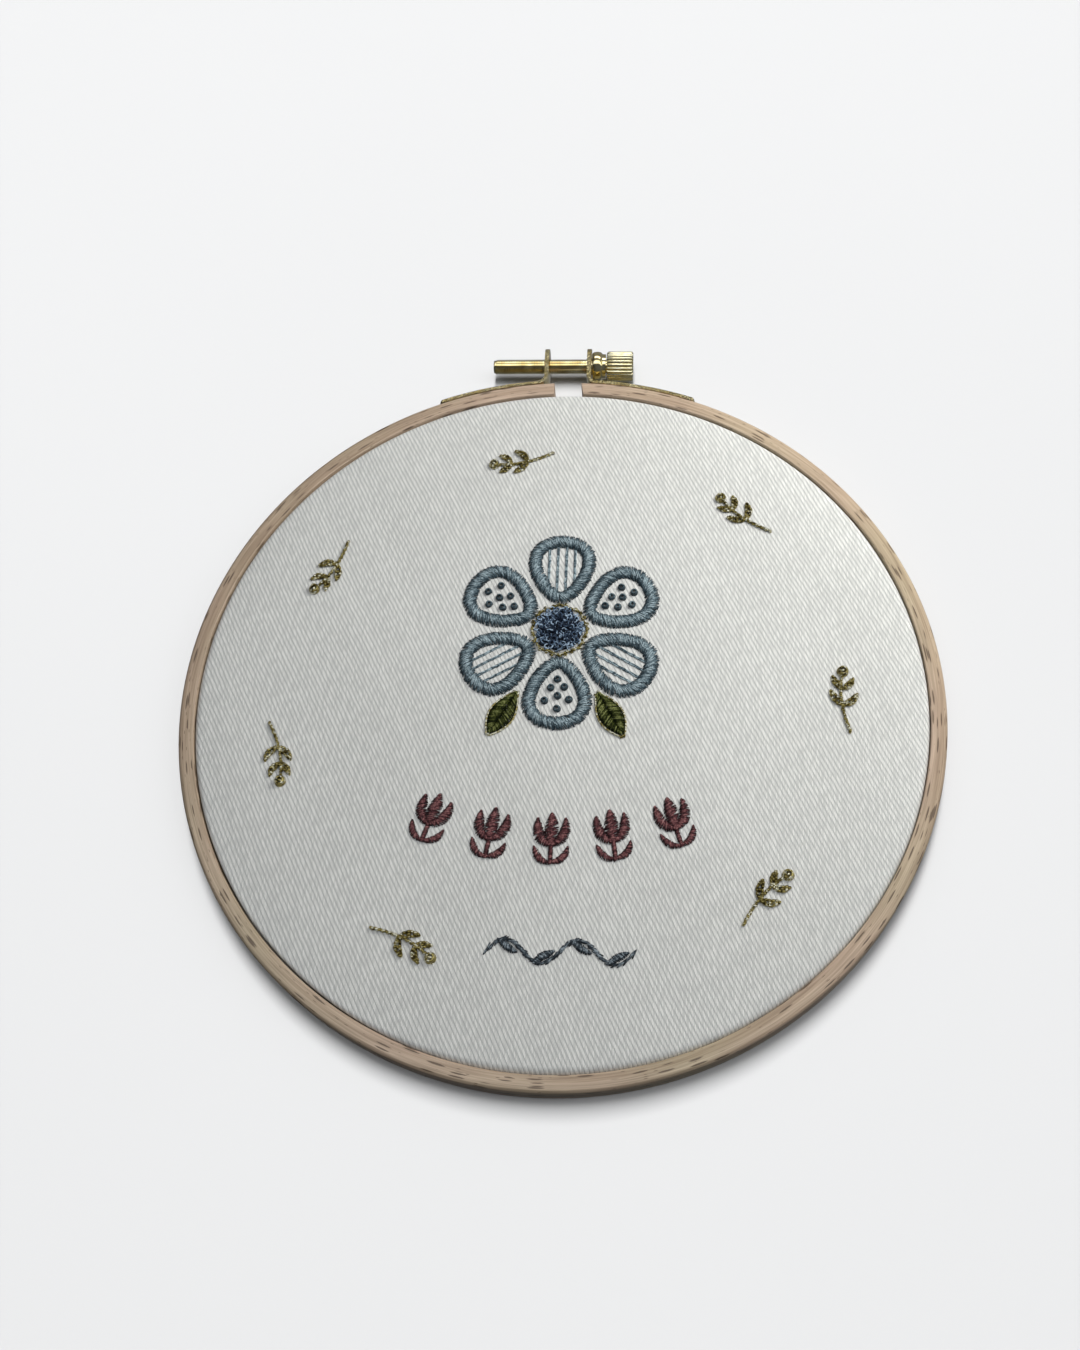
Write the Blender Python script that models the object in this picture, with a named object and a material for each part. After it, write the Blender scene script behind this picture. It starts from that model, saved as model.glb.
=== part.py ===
"""Embroidery stretched in a round wooden hoop with a brass thumbscrew, lying on its back.

Metres, +Z up. The cloth faces +Z and the screw is at +Y. The origin is the centre of the bounding box,
on the surface that the hoop lies on. Lengths below are millimetres times MM.
"""

import math

import bmesh
import bpy
from mathutils import Vector

MM = 0.001
CLEARANCE = 0.3 * MM  # between neighbouring pieces

# Rings
RING_STEPS = 96
OUTER_RADIUS = 94.6 * MM
OUTER_WIDTH = 4.0 * MM
RING_HEIGHT = 8.0 * MM
RING_ROUNDING = 0.6 * MM
RING_CHAMFER = 0.4 * MM
INNER_WIDTH = 4.5 * MM
GAP_LEFT = -4.2 * MM  # the split in the outer ring, whose right end is cut a little askew
GAP_RIGHT_OUTER = 3.1 * MM
GAP_RIGHT_INNER = 3.8 * MM

# Cloth: a flat disc that rounds over the inner ring and runs down between the rings
CLOTH_THICKNESS = 1.0 * MM
CLOTH_RADIUS = OUTER_RADIUS - OUTER_WIDTH - CLEARANCE
CLOTH_ROUNDING = 1.7 * MM
CLOTH_HEM_HEIGHT = 1.0 * MM
INNER_RADIUS = CLOTH_RADIUS - CLOTH_THICKNESS - CLEARANCE
INNER_HEIGHT = RING_HEIGHT - CLOTH_THICKNESS - CLEARANCE

# Brass straps, each bent up into a lug that carries the screw
STRAP_THICKNESS = 1.1 * MM
STRAP_HALF_WIDTH = 3.5 * MM
STRAP_MIDDLE_HEIGHT = 4.0 * MM
STRAP_BEND = 2.2 * MM
STRAP_REACH = {"left": 35.5 * MM, "right": 34.0 * MM}
LUG_OFFSET = {"left": 6.6 * MM, "right": 5.05 * MM}
LUG_ABOVE_AXIS = 5.3 * MM

# Screw
AXIS_FROM_CENTRE = 102.15 * MM
AXIS_HEIGHT = 4.3 * MM
ROD_RADIUS = 2.0 * MM
ROD_START = -21.5 * MM
ROD_CHAMFER = 0.5 * MM
BORE_RADIUS = ROD_RADIUS + 0.35 * MM
KNOB_START = 9.9 * MM
KNOB_END = 17.1 * MM
KNOB_RADIUS = 4.1 * MM
KNOB_CHAMFER = 0.5 * MM
KNOB_RIBS = 24
RIB_DEPTH = 0.35 * MM
COLLAR_START = LUG_OFFSET["right"] + STRAP_THICKNESS / 2 + CLEARANCE
COLLAR_PROFILE = (  # share of the collar's length, radius
    (0.00, 3.7 * MM),
    (0.14, 3.95 * MM),
    (0.42, 4.05 * MM),
    (0.68, 3.95 * MM),
    (0.84, 3.4 * MM),
    (1.00, 3.4 * MM),
)

# The hoop's centre is moved so that the bounding box is centred on the origin.
HOOP_Y = (OUTER_RADIUS - AXIS_FROM_CENTRE - LUG_ABOVE_AXIS) / 2

# Embroidery, raised above the cloth. Places are measured from the hoop's centre.
THREAD_BASE = RING_HEIGHT + CLEARANCE
BASE_STEP = 0.03 * MM  # keeps the undersides of fused stitches from lying in one plane
BAND_SECTION = ((-1.0, 0.0), (-0.75, 0.7), (0.0, 1.0), (0.75, 0.7), (1.0, 0.0))
RIDGE_SECTION = ((-1.0, 0.0), (0.0, 1.0), (1.0, 0.0))

FLOWER_CENTRE = Vector((0.0, 19.0)) * MM
PETALS = 6
PETAL_INNER = 7.6 * MM
PETAL_OUTER = 27.0 * MM
PETAL_HALF_WIDTH = 6.6 * MM
PETAL_EGG = 0.32
BAND_HALF_WIDTH = 1.6 * MM
BAND_HEIGHT = 1.0 * MM
BLOOM_RADIUS = 5.7 * MM
BLOOM_HEIGHT = 1.9 * MM
BLOOM_SCALLOPS = 8
SCALLOP_DEPTH = 0.25 * MM
BLOOM_EDGE_RADIUS = 6.65 * MM
BLOOM_EDGE_HALF_WIDTH = 0.4 * MM
BLOOM_EDGE_HEIGHT = 0.8 * MM
LEAF_START = 20.0 * MM
LEAF_END = 33.0 * MM
LEAF_HALF_WIDTH = 3.0 * MM
LEAF_ANGLES = {"left": 240.0, "right": 300.0}

TULIPS = 5
TULIP_SPACING = 14.5 * MM
TULIP_ROW_Y = -36.0 * MM
TULIP_ROW_SAG = 0.0055 / MM  # the row is a shallow arc, lowest in the middle
TULIP_HEIGHT = 0.9 * MM

VINE_CENTRE = Vector((3.0, -63.0)) * MM
VINE_HALF_LENGTH = 17.0 * MM
VINE_WAVE = 2.7 * MM
VINE_WAVES = 2
VINE_HALF_WIDTH = 0.7 * MM
VINE_HEIGHT = 0.8 * MM

SPRIG_RADIUS = 70.0 * MM
SPRIG_ANGLES = (1.0, 49.0, 100.0, 149.0, 193.0, 242.0, 316.0)
SPRIG_HEIGHT = 0.8 * MM

# Strokes of a tulip and of a sprig: start, middle and end points in millimetres, half width in
# millimetres, and whether the stroke is a leaf that narrows to both ends.
TULIP_STROKES = (
    {"points": ((0.0, -6.2), (0.0, -3.6), (0.0, -0.4)), "half_width": 0.60, "leaf": False},
    {"points": ((0.0, -1.6), (-2.7, 0.6), (-3.3, 5.0)), "half_width": 1.35, "leaf": True},
    {"points": ((0.0, -1.6), (2.7, 0.6), (3.3, 5.0)), "half_width": 1.35, "leaf": True},
    {"points": ((0.0, -2.0), (0.0, 2.0), (0.0, 6.2)), "half_width": 1.65, "leaf": True},
    {"points": ((0.0, -5.8), (-2.6, -4.8), (-4.0, -2.0)), "half_width": 0.95, "leaf": True},
    {"points": ((0.0, -5.8), (2.6, -4.8), (4.0, -2.0)), "half_width": 0.95, "leaf": True},
)
SPRIG_STROKES = (
    {"points": ((-8.6, -0.9), (-0.5, 0.7), (6.6, 0.0)), "half_width": 0.55, "leaf": False},
    {"points": ((-1.8, 0.2), (-0.2, 2.1), (1.9, 3.0)), "half_width": 1.05, "leaf": True},
    {"points": ((-1.6, 0.2), (-0.9, -1.7), (0.9, -3.0)), "half_width": 1.05, "leaf": True},
    {"points": ((2.6, 0.2), (3.9, 1.6), (5.6, 2.3)), "half_width": 0.95, "leaf": True},
    {"points": ((2.8, 0.2), (3.4, -1.3), (5.0, -2.3)), "half_width": 0.95, "leaf": True},
)
SPRIG_BUD_CENTRE = Vector((7.1, -0.1)) * MM
SPRIG_BUD_RADIUS = 1.6 * MM

MATERIALS = {  # base colour, roughness, metallic
    "beech": ((0.50, 0.36, 0.25), 0.55, 0.0),
    "twill": ((0.76, 0.75, 0.70), 0.90, 0.0),
    "brass": ((0.80, 0.64, 0.30), 0.25, 1.0),
    "thread_blue": ((0.17, 0.24, 0.29), 0.60, 0.0),
    "thread_deep_blue": ((0.07, 0.13, 0.20), 0.70, 0.0),
    "thread_green": ((0.05, 0.07, 0.01), 0.65, 0.0),
    "thread_red": ((0.25, 0.07, 0.07), 0.60, 0.0),
    "thread_teal": ((0.12, 0.16, 0.17), 0.60, 0.0),
    "thread_gold": ((0.55, 0.48, 0.18), 0.30, 1.0),
}


def clear_scene():
    for obj in list(bpy.data.objects):
        bpy.data.objects.remove(obj)


def make_materials():
    for name, (colour, roughness, metallic) in MATERIALS.items():
        material = bpy.data.materials.new(name)
        material.use_nodes = True
        shader = material.node_tree.nodes["Principled BSDF"]
        shader.inputs["Base Color"].default_value = (*colour, 1.0)
        shader.inputs["Roughness"].default_value = roughness
        shader.inputs["Metallic"].default_value = metallic


def add_object(name, mesh, material, parent, sharp_degrees=40.0):
    """A visible sub-part, smooth where its faces meet at less than sharp_degrees."""
    obj = bpy.data.objects.new(name, mesh)
    bpy.context.scene.collection.objects.link(obj)
    obj.parent = parent
    if not mesh.materials:
        mesh.materials.append(bpy.data.materials[material])
    mesh.shade_smooth()
    mesh.set_sharp_from_angle(angle=math.radians(sharp_degrees))
    return obj


def add_empty(name, location, parent=None):
    empty = bpy.data.objects.new(name, None)
    bpy.context.scene.collection.objects.link(empty)
    empty.location = location
    empty.parent = parent
    return empty


def cut(obj, cutter):
    """Takes the cutter out of the object with a Boolean that stays on it."""
    cutter.hide_render = True
    cutter.display_type = "WIRE"
    modifier = obj.modifiers.new("cut_" + cutter.name, "BOOLEAN")
    modifier.operation = "DIFFERENCE"
    modifier.object = cutter


def finish_mesh(name, bm):
    bmesh.ops.recalc_face_normals(bm, faces=bm.faces)
    mesh = bpy.data.meshes.new(name)
    bm.to_mesh(mesh)
    bm.free()
    return mesh


def loft(name, loops, closed=False):
    """Skins loops of equal length one after another. A closed loft joins its last loop to its first, and
    an open one has flat ends."""
    bm = bmesh.new()
    rows = [[bm.verts.new(point) for point in loop] for loop in loops]
    pairs = list(zip(rows, rows[1:]))
    if closed:
        pairs.append((rows[-1], rows[0]))
    else:
        bm.faces.new(rows[0])
        bm.faces.new(rows[-1])
    for near, far in pairs:
        for i in range(len(near)):
            j = (i + 1) % len(near)
            bm.faces.new((near[i], near[j], far[j], far[i]))
    return finish_mesh(name, bm)


def turned(name, profile, steps, axis):
    """Spins a closed profile about an axis through the origin."""
    bm = bmesh.new()
    points = [bm.verts.new(point) for point in profile]
    edges = [bm.edges.new((a, b)) for a, b in zip(points, points[1:] + points[:1])]
    bmesh.ops.spin(
        bm,
        geom=points + edges,
        cent=(0.0, 0.0, 0.0),
        axis=axis,
        angle=math.tau,
        steps=steps,
        use_merge=True,
    )
    return finish_mesh(name, bm)


def ring_profile(inner, outer, height, rounding, inner_chamfer, corner_steps):
    """The section of a ring in the XZ plane: round at the outer corners, chamfered at the inner ones."""
    points = []
    for corner_z, start in ((rounding, -90.0), (height - rounding, 0.0)):
        for step in range(corner_steps + 1):
            angle = math.radians(start + 90.0 * step / corner_steps)
            x = outer - rounding + rounding * math.cos(angle)
            points.append((x, corner_z + rounding * math.sin(angle)))
    points += [
        (inner + inner_chamfer, height),
        (inner, height - inner_chamfer),
        (inner, inner_chamfer),
        (inner + inner_chamfer, 0.0),
    ]
    return [Vector((x, 0.0, z)) for x, z in points]


def make_outer_ring(hoop):
    inner = OUTER_RADIUS - OUTER_WIDTH
    profile = ring_profile(inner, OUTER_RADIUS, RING_HEIGHT, RING_ROUNDING, RING_CHAMFER, 3)
    mesh = turned("outer_ring", profile, RING_STEPS, (0.0, 0.0, 1.0))
    ring = add_object("outer_ring", mesh, "beech", hoop)
    past = 5.0 * MM
    askew = (GAP_RIGHT_INNER - GAP_RIGHT_OUTER) / OUTER_WIDTH
    outline = (
        (GAP_LEFT, inner - past),
        (GAP_RIGHT_INNER + askew * past, inner - past),
        (GAP_RIGHT_OUTER - askew * past, OUTER_RADIUS + past),
        (GAP_LEFT, OUTER_RADIUS + past),
    )
    loops = [[Vector((x, y, z)) for x, y in outline] for z in (-past, RING_HEIGHT + past)]
    cutter = add_object("gap_cutter", loft("gap_cutter", loops), "beech", hoop)
    cut(ring, cutter)


def make_inner_ring(hoop):
    profile = ring_profile(
        INNER_RADIUS - INNER_WIDTH, INNER_RADIUS, INNER_HEIGHT, RING_CHAMFER, RING_CHAMFER, 1
    )
    mesh = turned("inner_ring", profile, RING_STEPS, (0.0, 0.0, 1.0))
    add_object("inner_ring", mesh, "beech", hoop)


def circle(radius, z, steps):
    return [
        Vector((radius * math.cos(a), radius * math.sin(a), z))
        for a in (math.tau * i / steps for i in range(steps))
    ]


def make_cloth(hoop):
    underside = CLOTH_RADIUS - CLOTH_THICKNESS
    rings = [
        (underside, RING_HEIGHT - CLOTH_THICKNESS),
        (underside, CLOTH_HEM_HEIGHT),
        (CLOTH_RADIUS, CLOTH_HEM_HEIGHT),
    ]
    for step in range(4):
        angle = math.radians(30.0 * step)
        rings.append(
            (
                CLOTH_RADIUS - CLOTH_ROUNDING * (1.0 - math.cos(angle)),
                RING_HEIGHT - CLOTH_ROUNDING * (1.0 - math.sin(angle)),
            )
        )
    loops = [circle(radius, z, RING_STEPS) for radius, z in rings]
    add_object("cloth", loft("cloth", loops), "twill", hoop)


def strap_path(lug_x, reach):
    """Stations along a strap that lies round the ring at +X and bends up into its lug at X = lug_x: the
    place and direction of its middle line in the XY plane, and its half width."""
    along_ring = OUTER_RADIUS + CLEARANCE + STRAP_THICKNESS / 2
    bend_centre_radius = along_ring + STRAP_BEND
    bend_angle = math.asin((lug_x + STRAP_BEND) / bend_centre_radius)
    tip_angle = math.asin(reach / along_ring)
    stations = []

    tip_half_angle = STRAP_HALF_WIDTH / along_ring
    for step in range(5):  # the round tip, from almost a point to the full width
        turn = math.radians(8.0 + 20.5 * step)
        angle = tip_angle - tip_half_angle * (1.0 - math.cos(turn))
        stations.append((angle, STRAP_HALF_WIDTH * math.sin(turn)))
    arc_steps = 8
    start = tip_angle - tip_half_angle
    for step in range(1, arc_steps + 1):
        angle = start + (bend_angle - start) * step / arc_steps
        stations.append((angle, STRAP_HALF_WIDTH))
    path = []
    for angle, half_width in stations:
        place = Vector((math.sin(angle), math.cos(angle))) * along_ring
        path.append((place, Vector((-math.cos(angle), math.sin(angle))), half_width))

    centre = Vector((math.sin(bend_angle), math.cos(bend_angle))) * bend_centre_radius
    bend_steps = 5
    for step in range(1, bend_steps + 1):
        turn = bend_angle + (math.pi / 2 - bend_angle) * step / bend_steps
        place = centre - Vector((math.sin(turn), math.cos(turn))) * STRAP_BEND
        path.append((place, Vector((-math.cos(turn), math.sin(turn))), STRAP_HALF_WIDTH))

    round_y = AXIS_FROM_CENTRE + LUG_ABOVE_AXIS - STRAP_HALF_WIDTH
    for step in range(6):  # the lug's round top
        angle = math.radians(16.4 * step)
        place = Vector((lug_x, round_y + STRAP_HALF_WIDTH * math.sin(angle)))
        path.append((place, Vector((0.0, 1.0)), STRAP_HALF_WIDTH * math.cos(angle)))
    return path


def make_strap(side, hoop):
    mirror = -1.0 if side == "left" else 1.0
    loops = []
    for place, along, half_width in strap_path(LUG_OFFSET[side], STRAP_REACH[side]):
        across = Vector((along.y, -along.x)) * STRAP_THICKNESS / 2
        corners = ((place + across, -1), (place + across, 1), (place - across, 1), (place - across, -1))
        loops.append(
            [
                Vector((mirror * p.x, p.y, STRAP_MIDDLE_HEIGHT + sign * half_width))
                for p, sign in corners
            ]
        )
    name = "strap_" + side
    strap = add_object(name, loft(name, loops), "brass", hoop, 30.0)
    bore = [
        [Vector((x, *point.xy)) for point in circle(BORE_RADIUS, 0.0, 24)]
        for x in (-3.0 * MM, 3.0 * MM)
    ]
    cutter = add_object("bore_cutter_" + side, loft("bore_cutter_" + side, bore), "brass", hoop)
    cutter.location = (mirror * LUG_OFFSET[side], AXIS_FROM_CENTRE, AXIS_HEIGHT)
    cut(strap, cutter)


def make_thumbscrew(axis):
    """The threaded rod and its ribbed knob, one turned piece along X."""
    steps = 2 * KNOB_RIBS

    def section(x, radius, rib_depth=0.0):
        loop = []
        for i in range(steps):
            angle = math.tau * i / steps
            r = radius - rib_depth * (i % 2)
            loop.append(Vector((x, r * math.cos(angle), r * math.sin(angle))))
        return loop

    loops = [
        section(ROD_START, ROD_RADIUS - ROD_CHAMFER),
        section(ROD_START + ROD_CHAMFER, ROD_RADIUS),
        section(KNOB_START, ROD_RADIUS),
        section(KNOB_START, KNOB_RADIUS - KNOB_CHAMFER),
        section(KNOB_START + KNOB_CHAMFER, KNOB_RADIUS, RIB_DEPTH),
        section(KNOB_END - KNOB_CHAMFER, KNOB_RADIUS, RIB_DEPTH),
        section(KNOB_END, KNOB_RADIUS - KNOB_CHAMFER),
    ]
    add_object("thumbscrew", loft("thumbscrew", loops), "brass", axis, 30.0)


def make_collar(axis):
    end = KNOB_START - CLEARANCE
    length = end - COLLAR_START
    profile = [Vector((COLLAR_START + share * length, radius, 0.0)) for share, radius in COLLAR_PROFILE]
    profile += [Vector((end, BORE_RADIUS, 0.0)), Vector((COLLAR_START, BORE_RADIUS, 0.0))]
    mesh = turned("screw_collar", profile, 24, (1.0, 0.0, 0.0))
    add_object("screw_collar", mesh, "brass", axis, 30.0)


def stroke(name, points, half_widths, height, base, section, closed=False):
    """A stitched line raised above the cloth: the section follows the points, as wide as stated there."""
    widest = max(half_widths)
    count = len(points)
    loops = []
    for i, (point, half_width) in enumerate(zip(points, half_widths)):
        before = points[i - 1] if closed or i else point
        after = points[(i + 1) % count] if closed or i < count - 1 else point
        along = (after - before).normalized()
        across = Vector((along.y, -along.x))
        rise = height * math.sqrt(half_width / widest)
        loops.append(
            [
                Vector((*(point + across * half_width * side), base + rise * up))
                for side, up in section
            ]
        )
    return loft(name, loops, closed)


def bowed(points, steps):
    """A curve through three points, in metres, from a quadratic Bezier."""
    start, middle, end = (Vector(p) * MM for p in points)
    handle = 2.0 * middle - (start + end) / 2.0
    curve = []
    for i in range(steps + 1):
        t = i / steps
        curve.append(start * (1 - t) ** 2 + handle * 2 * t * (1 - t) + end * t**2)
    return curve


def stroke_from_table(name, row, height, base):
    steps = 5
    points = bowed(row["points"], steps)
    half_widths = []
    for i in range(len(points)):
        share = math.sin(math.pi * (0.06 + 0.88 * i / steps)) ** 0.8 if row["leaf"] else 1.0
        half_widths.append(row["half_width"] * MM * share)
    return stroke(name, points, half_widths, height, base, RIDGE_SECTION)


def dome(name, outline, height, base, rows):
    """A raised patch with the outline's shape. Each row gives a share of the size and of the height."""
    centre = sum(outline, Vector((0.0, 0.0))) / len(outline)
    loops = []
    for size, up in rows:
        loops.append([Vector((*(centre + (p - centre) * size), base + height * up)) for p in outline])
    return loft(name, loops)


def fused(name, meshes):
    """One mesh from overlapping ones, by Boolean union."""
    helpers = []
    for i, mesh in enumerate(meshes):
        helper = bpy.data.objects.new(f"{name}_{i}", mesh)
        bpy.context.scene.collection.objects.link(helper)
        helpers.append(helper)
    for helper in helpers[1:]:
        modifier = helpers[0].modifiers.new(helper.name, "BOOLEAN")
        modifier.operation = "UNION"
        modifier.object = helper
    graph = bpy.context.evaluated_depsgraph_get()
    graph.update()
    whole = bpy.data.meshes.new_from_object(helpers[0].evaluated_get(graph))
    whole.name = name
    for helper in helpers:
        bpy.data.objects.remove(helper)
    return whole


def make_petals(hoop):
    inner = PETAL_INNER + BAND_HALF_WIDTH
    outer = PETAL_OUTER - BAND_HALF_WIDTH
    half_length = (outer - inner) / 2
    middle = (outer + inner) / 2
    steps = 32
    points = []
    for i in range(steps):
        angle = math.tau * i / steps
        across = PETAL_HALF_WIDTH * math.sin(angle) * (1.0 + PETAL_EGG * math.cos(angle))
        points.append(Vector((middle + half_length * math.cos(angle), across)))
    half_widths = [BAND_HALF_WIDTH] * steps
    mesh = stroke("petal", points, half_widths, BAND_HEIGHT, THREAD_BASE, BAND_SECTION, closed=True)
    for i in range(PETALS):
        petal = add_object(f"petal_{i + 1}", mesh, "thread_blue", hoop)
        petal.location = (*FLOWER_CENTRE, 0.0)
        petal.rotation_euler.z = math.radians(90.0) + math.tau * i / PETALS


def scalloped(radius, steps):
    points = []
    for i in range(steps):
        angle = math.tau * i / steps
        r = radius + SCALLOP_DEPTH * math.cos(BLOOM_SCALLOPS * angle)
        points.append(Vector((r * math.cos(angle), r * math.sin(angle))))
    return points


def make_bloom(hoop):
    """The knotted middle of the flower, and the gold thread couched round it."""
    rows = ((1.0, 0.0), (0.97, 0.45), (0.8, 0.85), (0.55, 1.0), (0.3, 0.85))
    knots = dome("bloom", scalloped(BLOOM_RADIUS, 32), BLOOM_HEIGHT, THREAD_BASE, rows)
    edge_line = scalloped(BLOOM_EDGE_RADIUS, 48)
    half_widths = [BLOOM_EDGE_HALF_WIDTH] * len(edge_line)
    edge = stroke(
        "bloom_edge", edge_line, half_widths, BLOOM_EDGE_HEIGHT, THREAD_BASE, RIDGE_SECTION, closed=True
    )
    for mesh, material in ((knots, "thread_deep_blue"), (edge, "thread_gold")):
        piece = add_object(mesh.name, mesh, material, hoop)
        piece.location = (*FLOWER_CENTRE, 0.0)


def make_leaves(hoop):
    steps = 10
    points = []
    half_widths = []
    for i in range(steps + 1):
        t = i / steps
        points.append(Vector((LEAF_START + (LEAF_END - LEAF_START) * t, 0.0)))
        half_widths.append(LEAF_HALF_WIDTH * math.sin(math.pi * (0.03 + 0.94 * t**1.1)) ** 0.9)
    mesh = stroke("leaf", points, half_widths, BAND_HEIGHT, THREAD_BASE, BAND_SECTION)
    for side, angle in LEAF_ANGLES.items():
        leaf = add_object("leaf_" + side, mesh, "thread_green", hoop)
        leaf.location = (*FLOWER_CENTRE, 0.0)
        leaf.rotation_euler.z = math.radians(angle)


def make_tulips(hoop):
    strokes = [
        stroke_from_table(f"tulip_stroke_{i}", row, TULIP_HEIGHT, THREAD_BASE + BASE_STEP * i)
        for i, row in enumerate(TULIP_STROKES)
    ]
    mesh = fused("tulip", strokes)
    for i in range(TULIPS):
        x = TULIP_SPACING * (i - (TULIPS - 1) / 2)
        tulip = add_object(f"tulip_{i + 1}", mesh, "thread_red", hoop)
        tulip.location = (x, TULIP_ROW_Y + TULIP_ROW_SAG * x * x, 0.0)
        tulip.rotation_euler.z = math.atan(2.0 * TULIP_ROW_SAG * x)


def make_vine(hoop):
    """A waving stem with a leaf in each bay."""
    wave = math.tau * VINE_WAVES / (2.0 * VINE_HALF_LENGTH)
    steps = 32
    points = []
    for i in range(steps + 1):
        x = VINE_HALF_LENGTH * (2.0 * i / steps - 1.0)
        points.append(Vector((x, VINE_WAVE * math.sin(wave * x))))
    half_widths = [VINE_HALF_WIDTH] * len(points)
    pieces = [stroke("vine_stem", points, half_widths, VINE_HEIGHT, THREAD_BASE, RIDGE_SECTION)]
    bays = 2 * VINE_WAVES
    for i in range(bays):
        x = VINE_HALF_LENGTH * ((2.0 * i + 1.0) / bays - 1.0) / MM
        side = math.copysign(1.0, math.sin(wave * x * MM))
        root = side * VINE_WAVE / MM
        row = {
            "points": ((x - 1.6, root), (x + 0.6, root - side * 1.7), (x + 3.0, root - side * 2.9)),
            "half_width": 1.0,
            "leaf": True,
        }
        pieces.append(
            stroke_from_table(f"vine_leaf_{i}", row, VINE_HEIGHT, THREAD_BASE + BASE_STEP * (i + 1))
        )
    vine = add_object("vine", fused("vine", pieces), "thread_teal", hoop)
    vine.location = (*VINE_CENTRE, 0.0)


def make_sprigs(hoop):
    pieces = [
        stroke_from_table(f"sprig_stroke_{i}", row, SPRIG_HEIGHT, THREAD_BASE + BASE_STEP * i)
        for i, row in enumerate(SPRIG_STROKES)
    ]
    bud = [SPRIG_BUD_CENTRE + p.xy for p in circle(SPRIG_BUD_RADIUS, 0.0, 12)]
    bud_rows = ((1.0, 0.0), (0.9, 0.7), (0.5, 1.0))
    bud_base = THREAD_BASE + BASE_STEP * len(pieces)
    pieces.append(dome("sprig_bud", bud, 1.4 * SPRIG_HEIGHT, bud_base, bud_rows))
    mesh = fused("sprig", pieces)
    for i, degrees in enumerate(SPRIG_ANGLES):
        angle = math.radians(degrees)
        sprig = add_object(f"sprig_{i + 1}", mesh, "thread_gold", hoop)
        sprig.location = (SPRIG_RADIUS * math.cos(angle), SPRIG_RADIUS * math.sin(angle), 0.0)
        sprig.rotation_euler.z = angle + math.pi / 2


def main():
    clear_scene()
    make_materials()
    hoop = add_empty("hoop_centre", (0.0, HOOP_Y, 0.0))
    axis = add_empty("screw_axis", (0.0, AXIS_FROM_CENTRE, AXIS_HEIGHT), hoop)
    make_outer_ring(hoop)
    make_inner_ring(hoop)
    make_cloth(hoop)
    make_strap("left", hoop)
    make_strap("right", hoop)
    make_thumbscrew(axis)
    make_collar(axis)
    make_petals(hoop)
    make_bloom(hoop)
    make_leaves(hoop)
    make_tulips(hoop)
    make_vine(hoop)
    make_sprigs(hoop)


main()
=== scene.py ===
# %% [markdown]
# # Embroidery in a wooden hoop
# A hoop with stretched twill lies on its back, its picture sewn in satin stitch, knots and gold thread.
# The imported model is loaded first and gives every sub-part at its true size and place, so this script
# only dresses it: finer wood and brass, woven cloth, and each stitch as a thread of its own.

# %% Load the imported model
import math
from random import Random

import bmesh
import bpy
from bmesh.types import BMFace, BMVert
from mathutils import Matrix, Vector


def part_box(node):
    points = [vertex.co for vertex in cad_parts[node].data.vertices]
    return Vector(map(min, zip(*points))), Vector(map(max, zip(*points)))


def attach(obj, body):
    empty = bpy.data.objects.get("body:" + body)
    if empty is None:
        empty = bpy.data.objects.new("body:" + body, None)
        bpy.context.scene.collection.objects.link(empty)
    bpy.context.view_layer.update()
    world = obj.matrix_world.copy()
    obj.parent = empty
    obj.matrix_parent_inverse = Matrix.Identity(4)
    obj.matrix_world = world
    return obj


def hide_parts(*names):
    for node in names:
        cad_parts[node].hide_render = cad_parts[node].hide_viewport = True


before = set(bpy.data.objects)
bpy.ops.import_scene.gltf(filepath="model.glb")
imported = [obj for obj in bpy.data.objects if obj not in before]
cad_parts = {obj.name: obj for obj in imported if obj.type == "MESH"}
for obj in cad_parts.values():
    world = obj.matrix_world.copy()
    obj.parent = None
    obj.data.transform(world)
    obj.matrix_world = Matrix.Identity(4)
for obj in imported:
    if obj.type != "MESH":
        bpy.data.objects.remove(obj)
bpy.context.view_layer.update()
MM = 0.001
ORIGIN = Vector()
X_AXIS = Vector((1.0, 0.0, 0.0))
Z_AXIS = Vector((0.0, 0.0, 1.0))
print("sub-parts:", len(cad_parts))

# %% [markdown]
# The model also gives the sizes that the rest hangs on, which keeps the looks in step with the solids.
# The cloth is a true disc, so the middle of its box is the hoop's centre.

# %% Read the hoop's sizes
cloth_low, cloth_high = map(Vector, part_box("cloth"))
ring_low, ring_high = map(Vector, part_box("outer_ring"))
hoop_centre = (cloth_low + cloth_high) / 2
hoop_centre.z = 0.0
cloth_top = cloth_high.z
ring_radius = (ring_high.x - ring_low.x) / 2
print(f"ring {2000 * ring_radius:.1f} mm across, cloth top at {1000 * cloth_top:.1f} mm")

# %% [markdown]
# ## Camera
# The photographer looked down from the hoop's lower edge, a little from the right. A camera can be turned
# by angles or by naming its axes. Axes are used here, because the roll of a hand-held shot is then just
# part of the direction that points right.

# %% Camera
EYE = Vector((23.83, -144.55, 340.96)) * MM  # from the hoop's centre
LOOKS = Vector((-0.07704, 0.41194, -0.90795))
PICTURE_RIGHT = Vector((0.99696, 0.0423, -0.0654))
camera = bpy.data.objects.new("camera", bpy.data.cameras.new("camera"))
camera.data.lens = 39.34
camera.data.sensor_width = 36.0
camera.data.clip_start = 0.01
bpy.context.scene.collection.objects.link(camera)
turn = Matrix((PICTURE_RIGHT, PICTURE_RIGHT.cross(LOOKS), -LOOKS)).transposed()
camera.matrix_world = Matrix.Translation(hoop_centre + EYE) @ turn.to_4x4()
bpy.context.scene.camera = camera
print("camera is", round(EYE.length * 1000), "mm from the hoop's centre")

# %% [markdown]
# ## Nodes in one line
# A procedural finish is a handful of linked nodes. One helper starts a material, one adds a node and
# wires its inputs in a single call, and the rest wrap what is used most. A node's output knows its own
# tree, so most helpers find it there.

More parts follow.
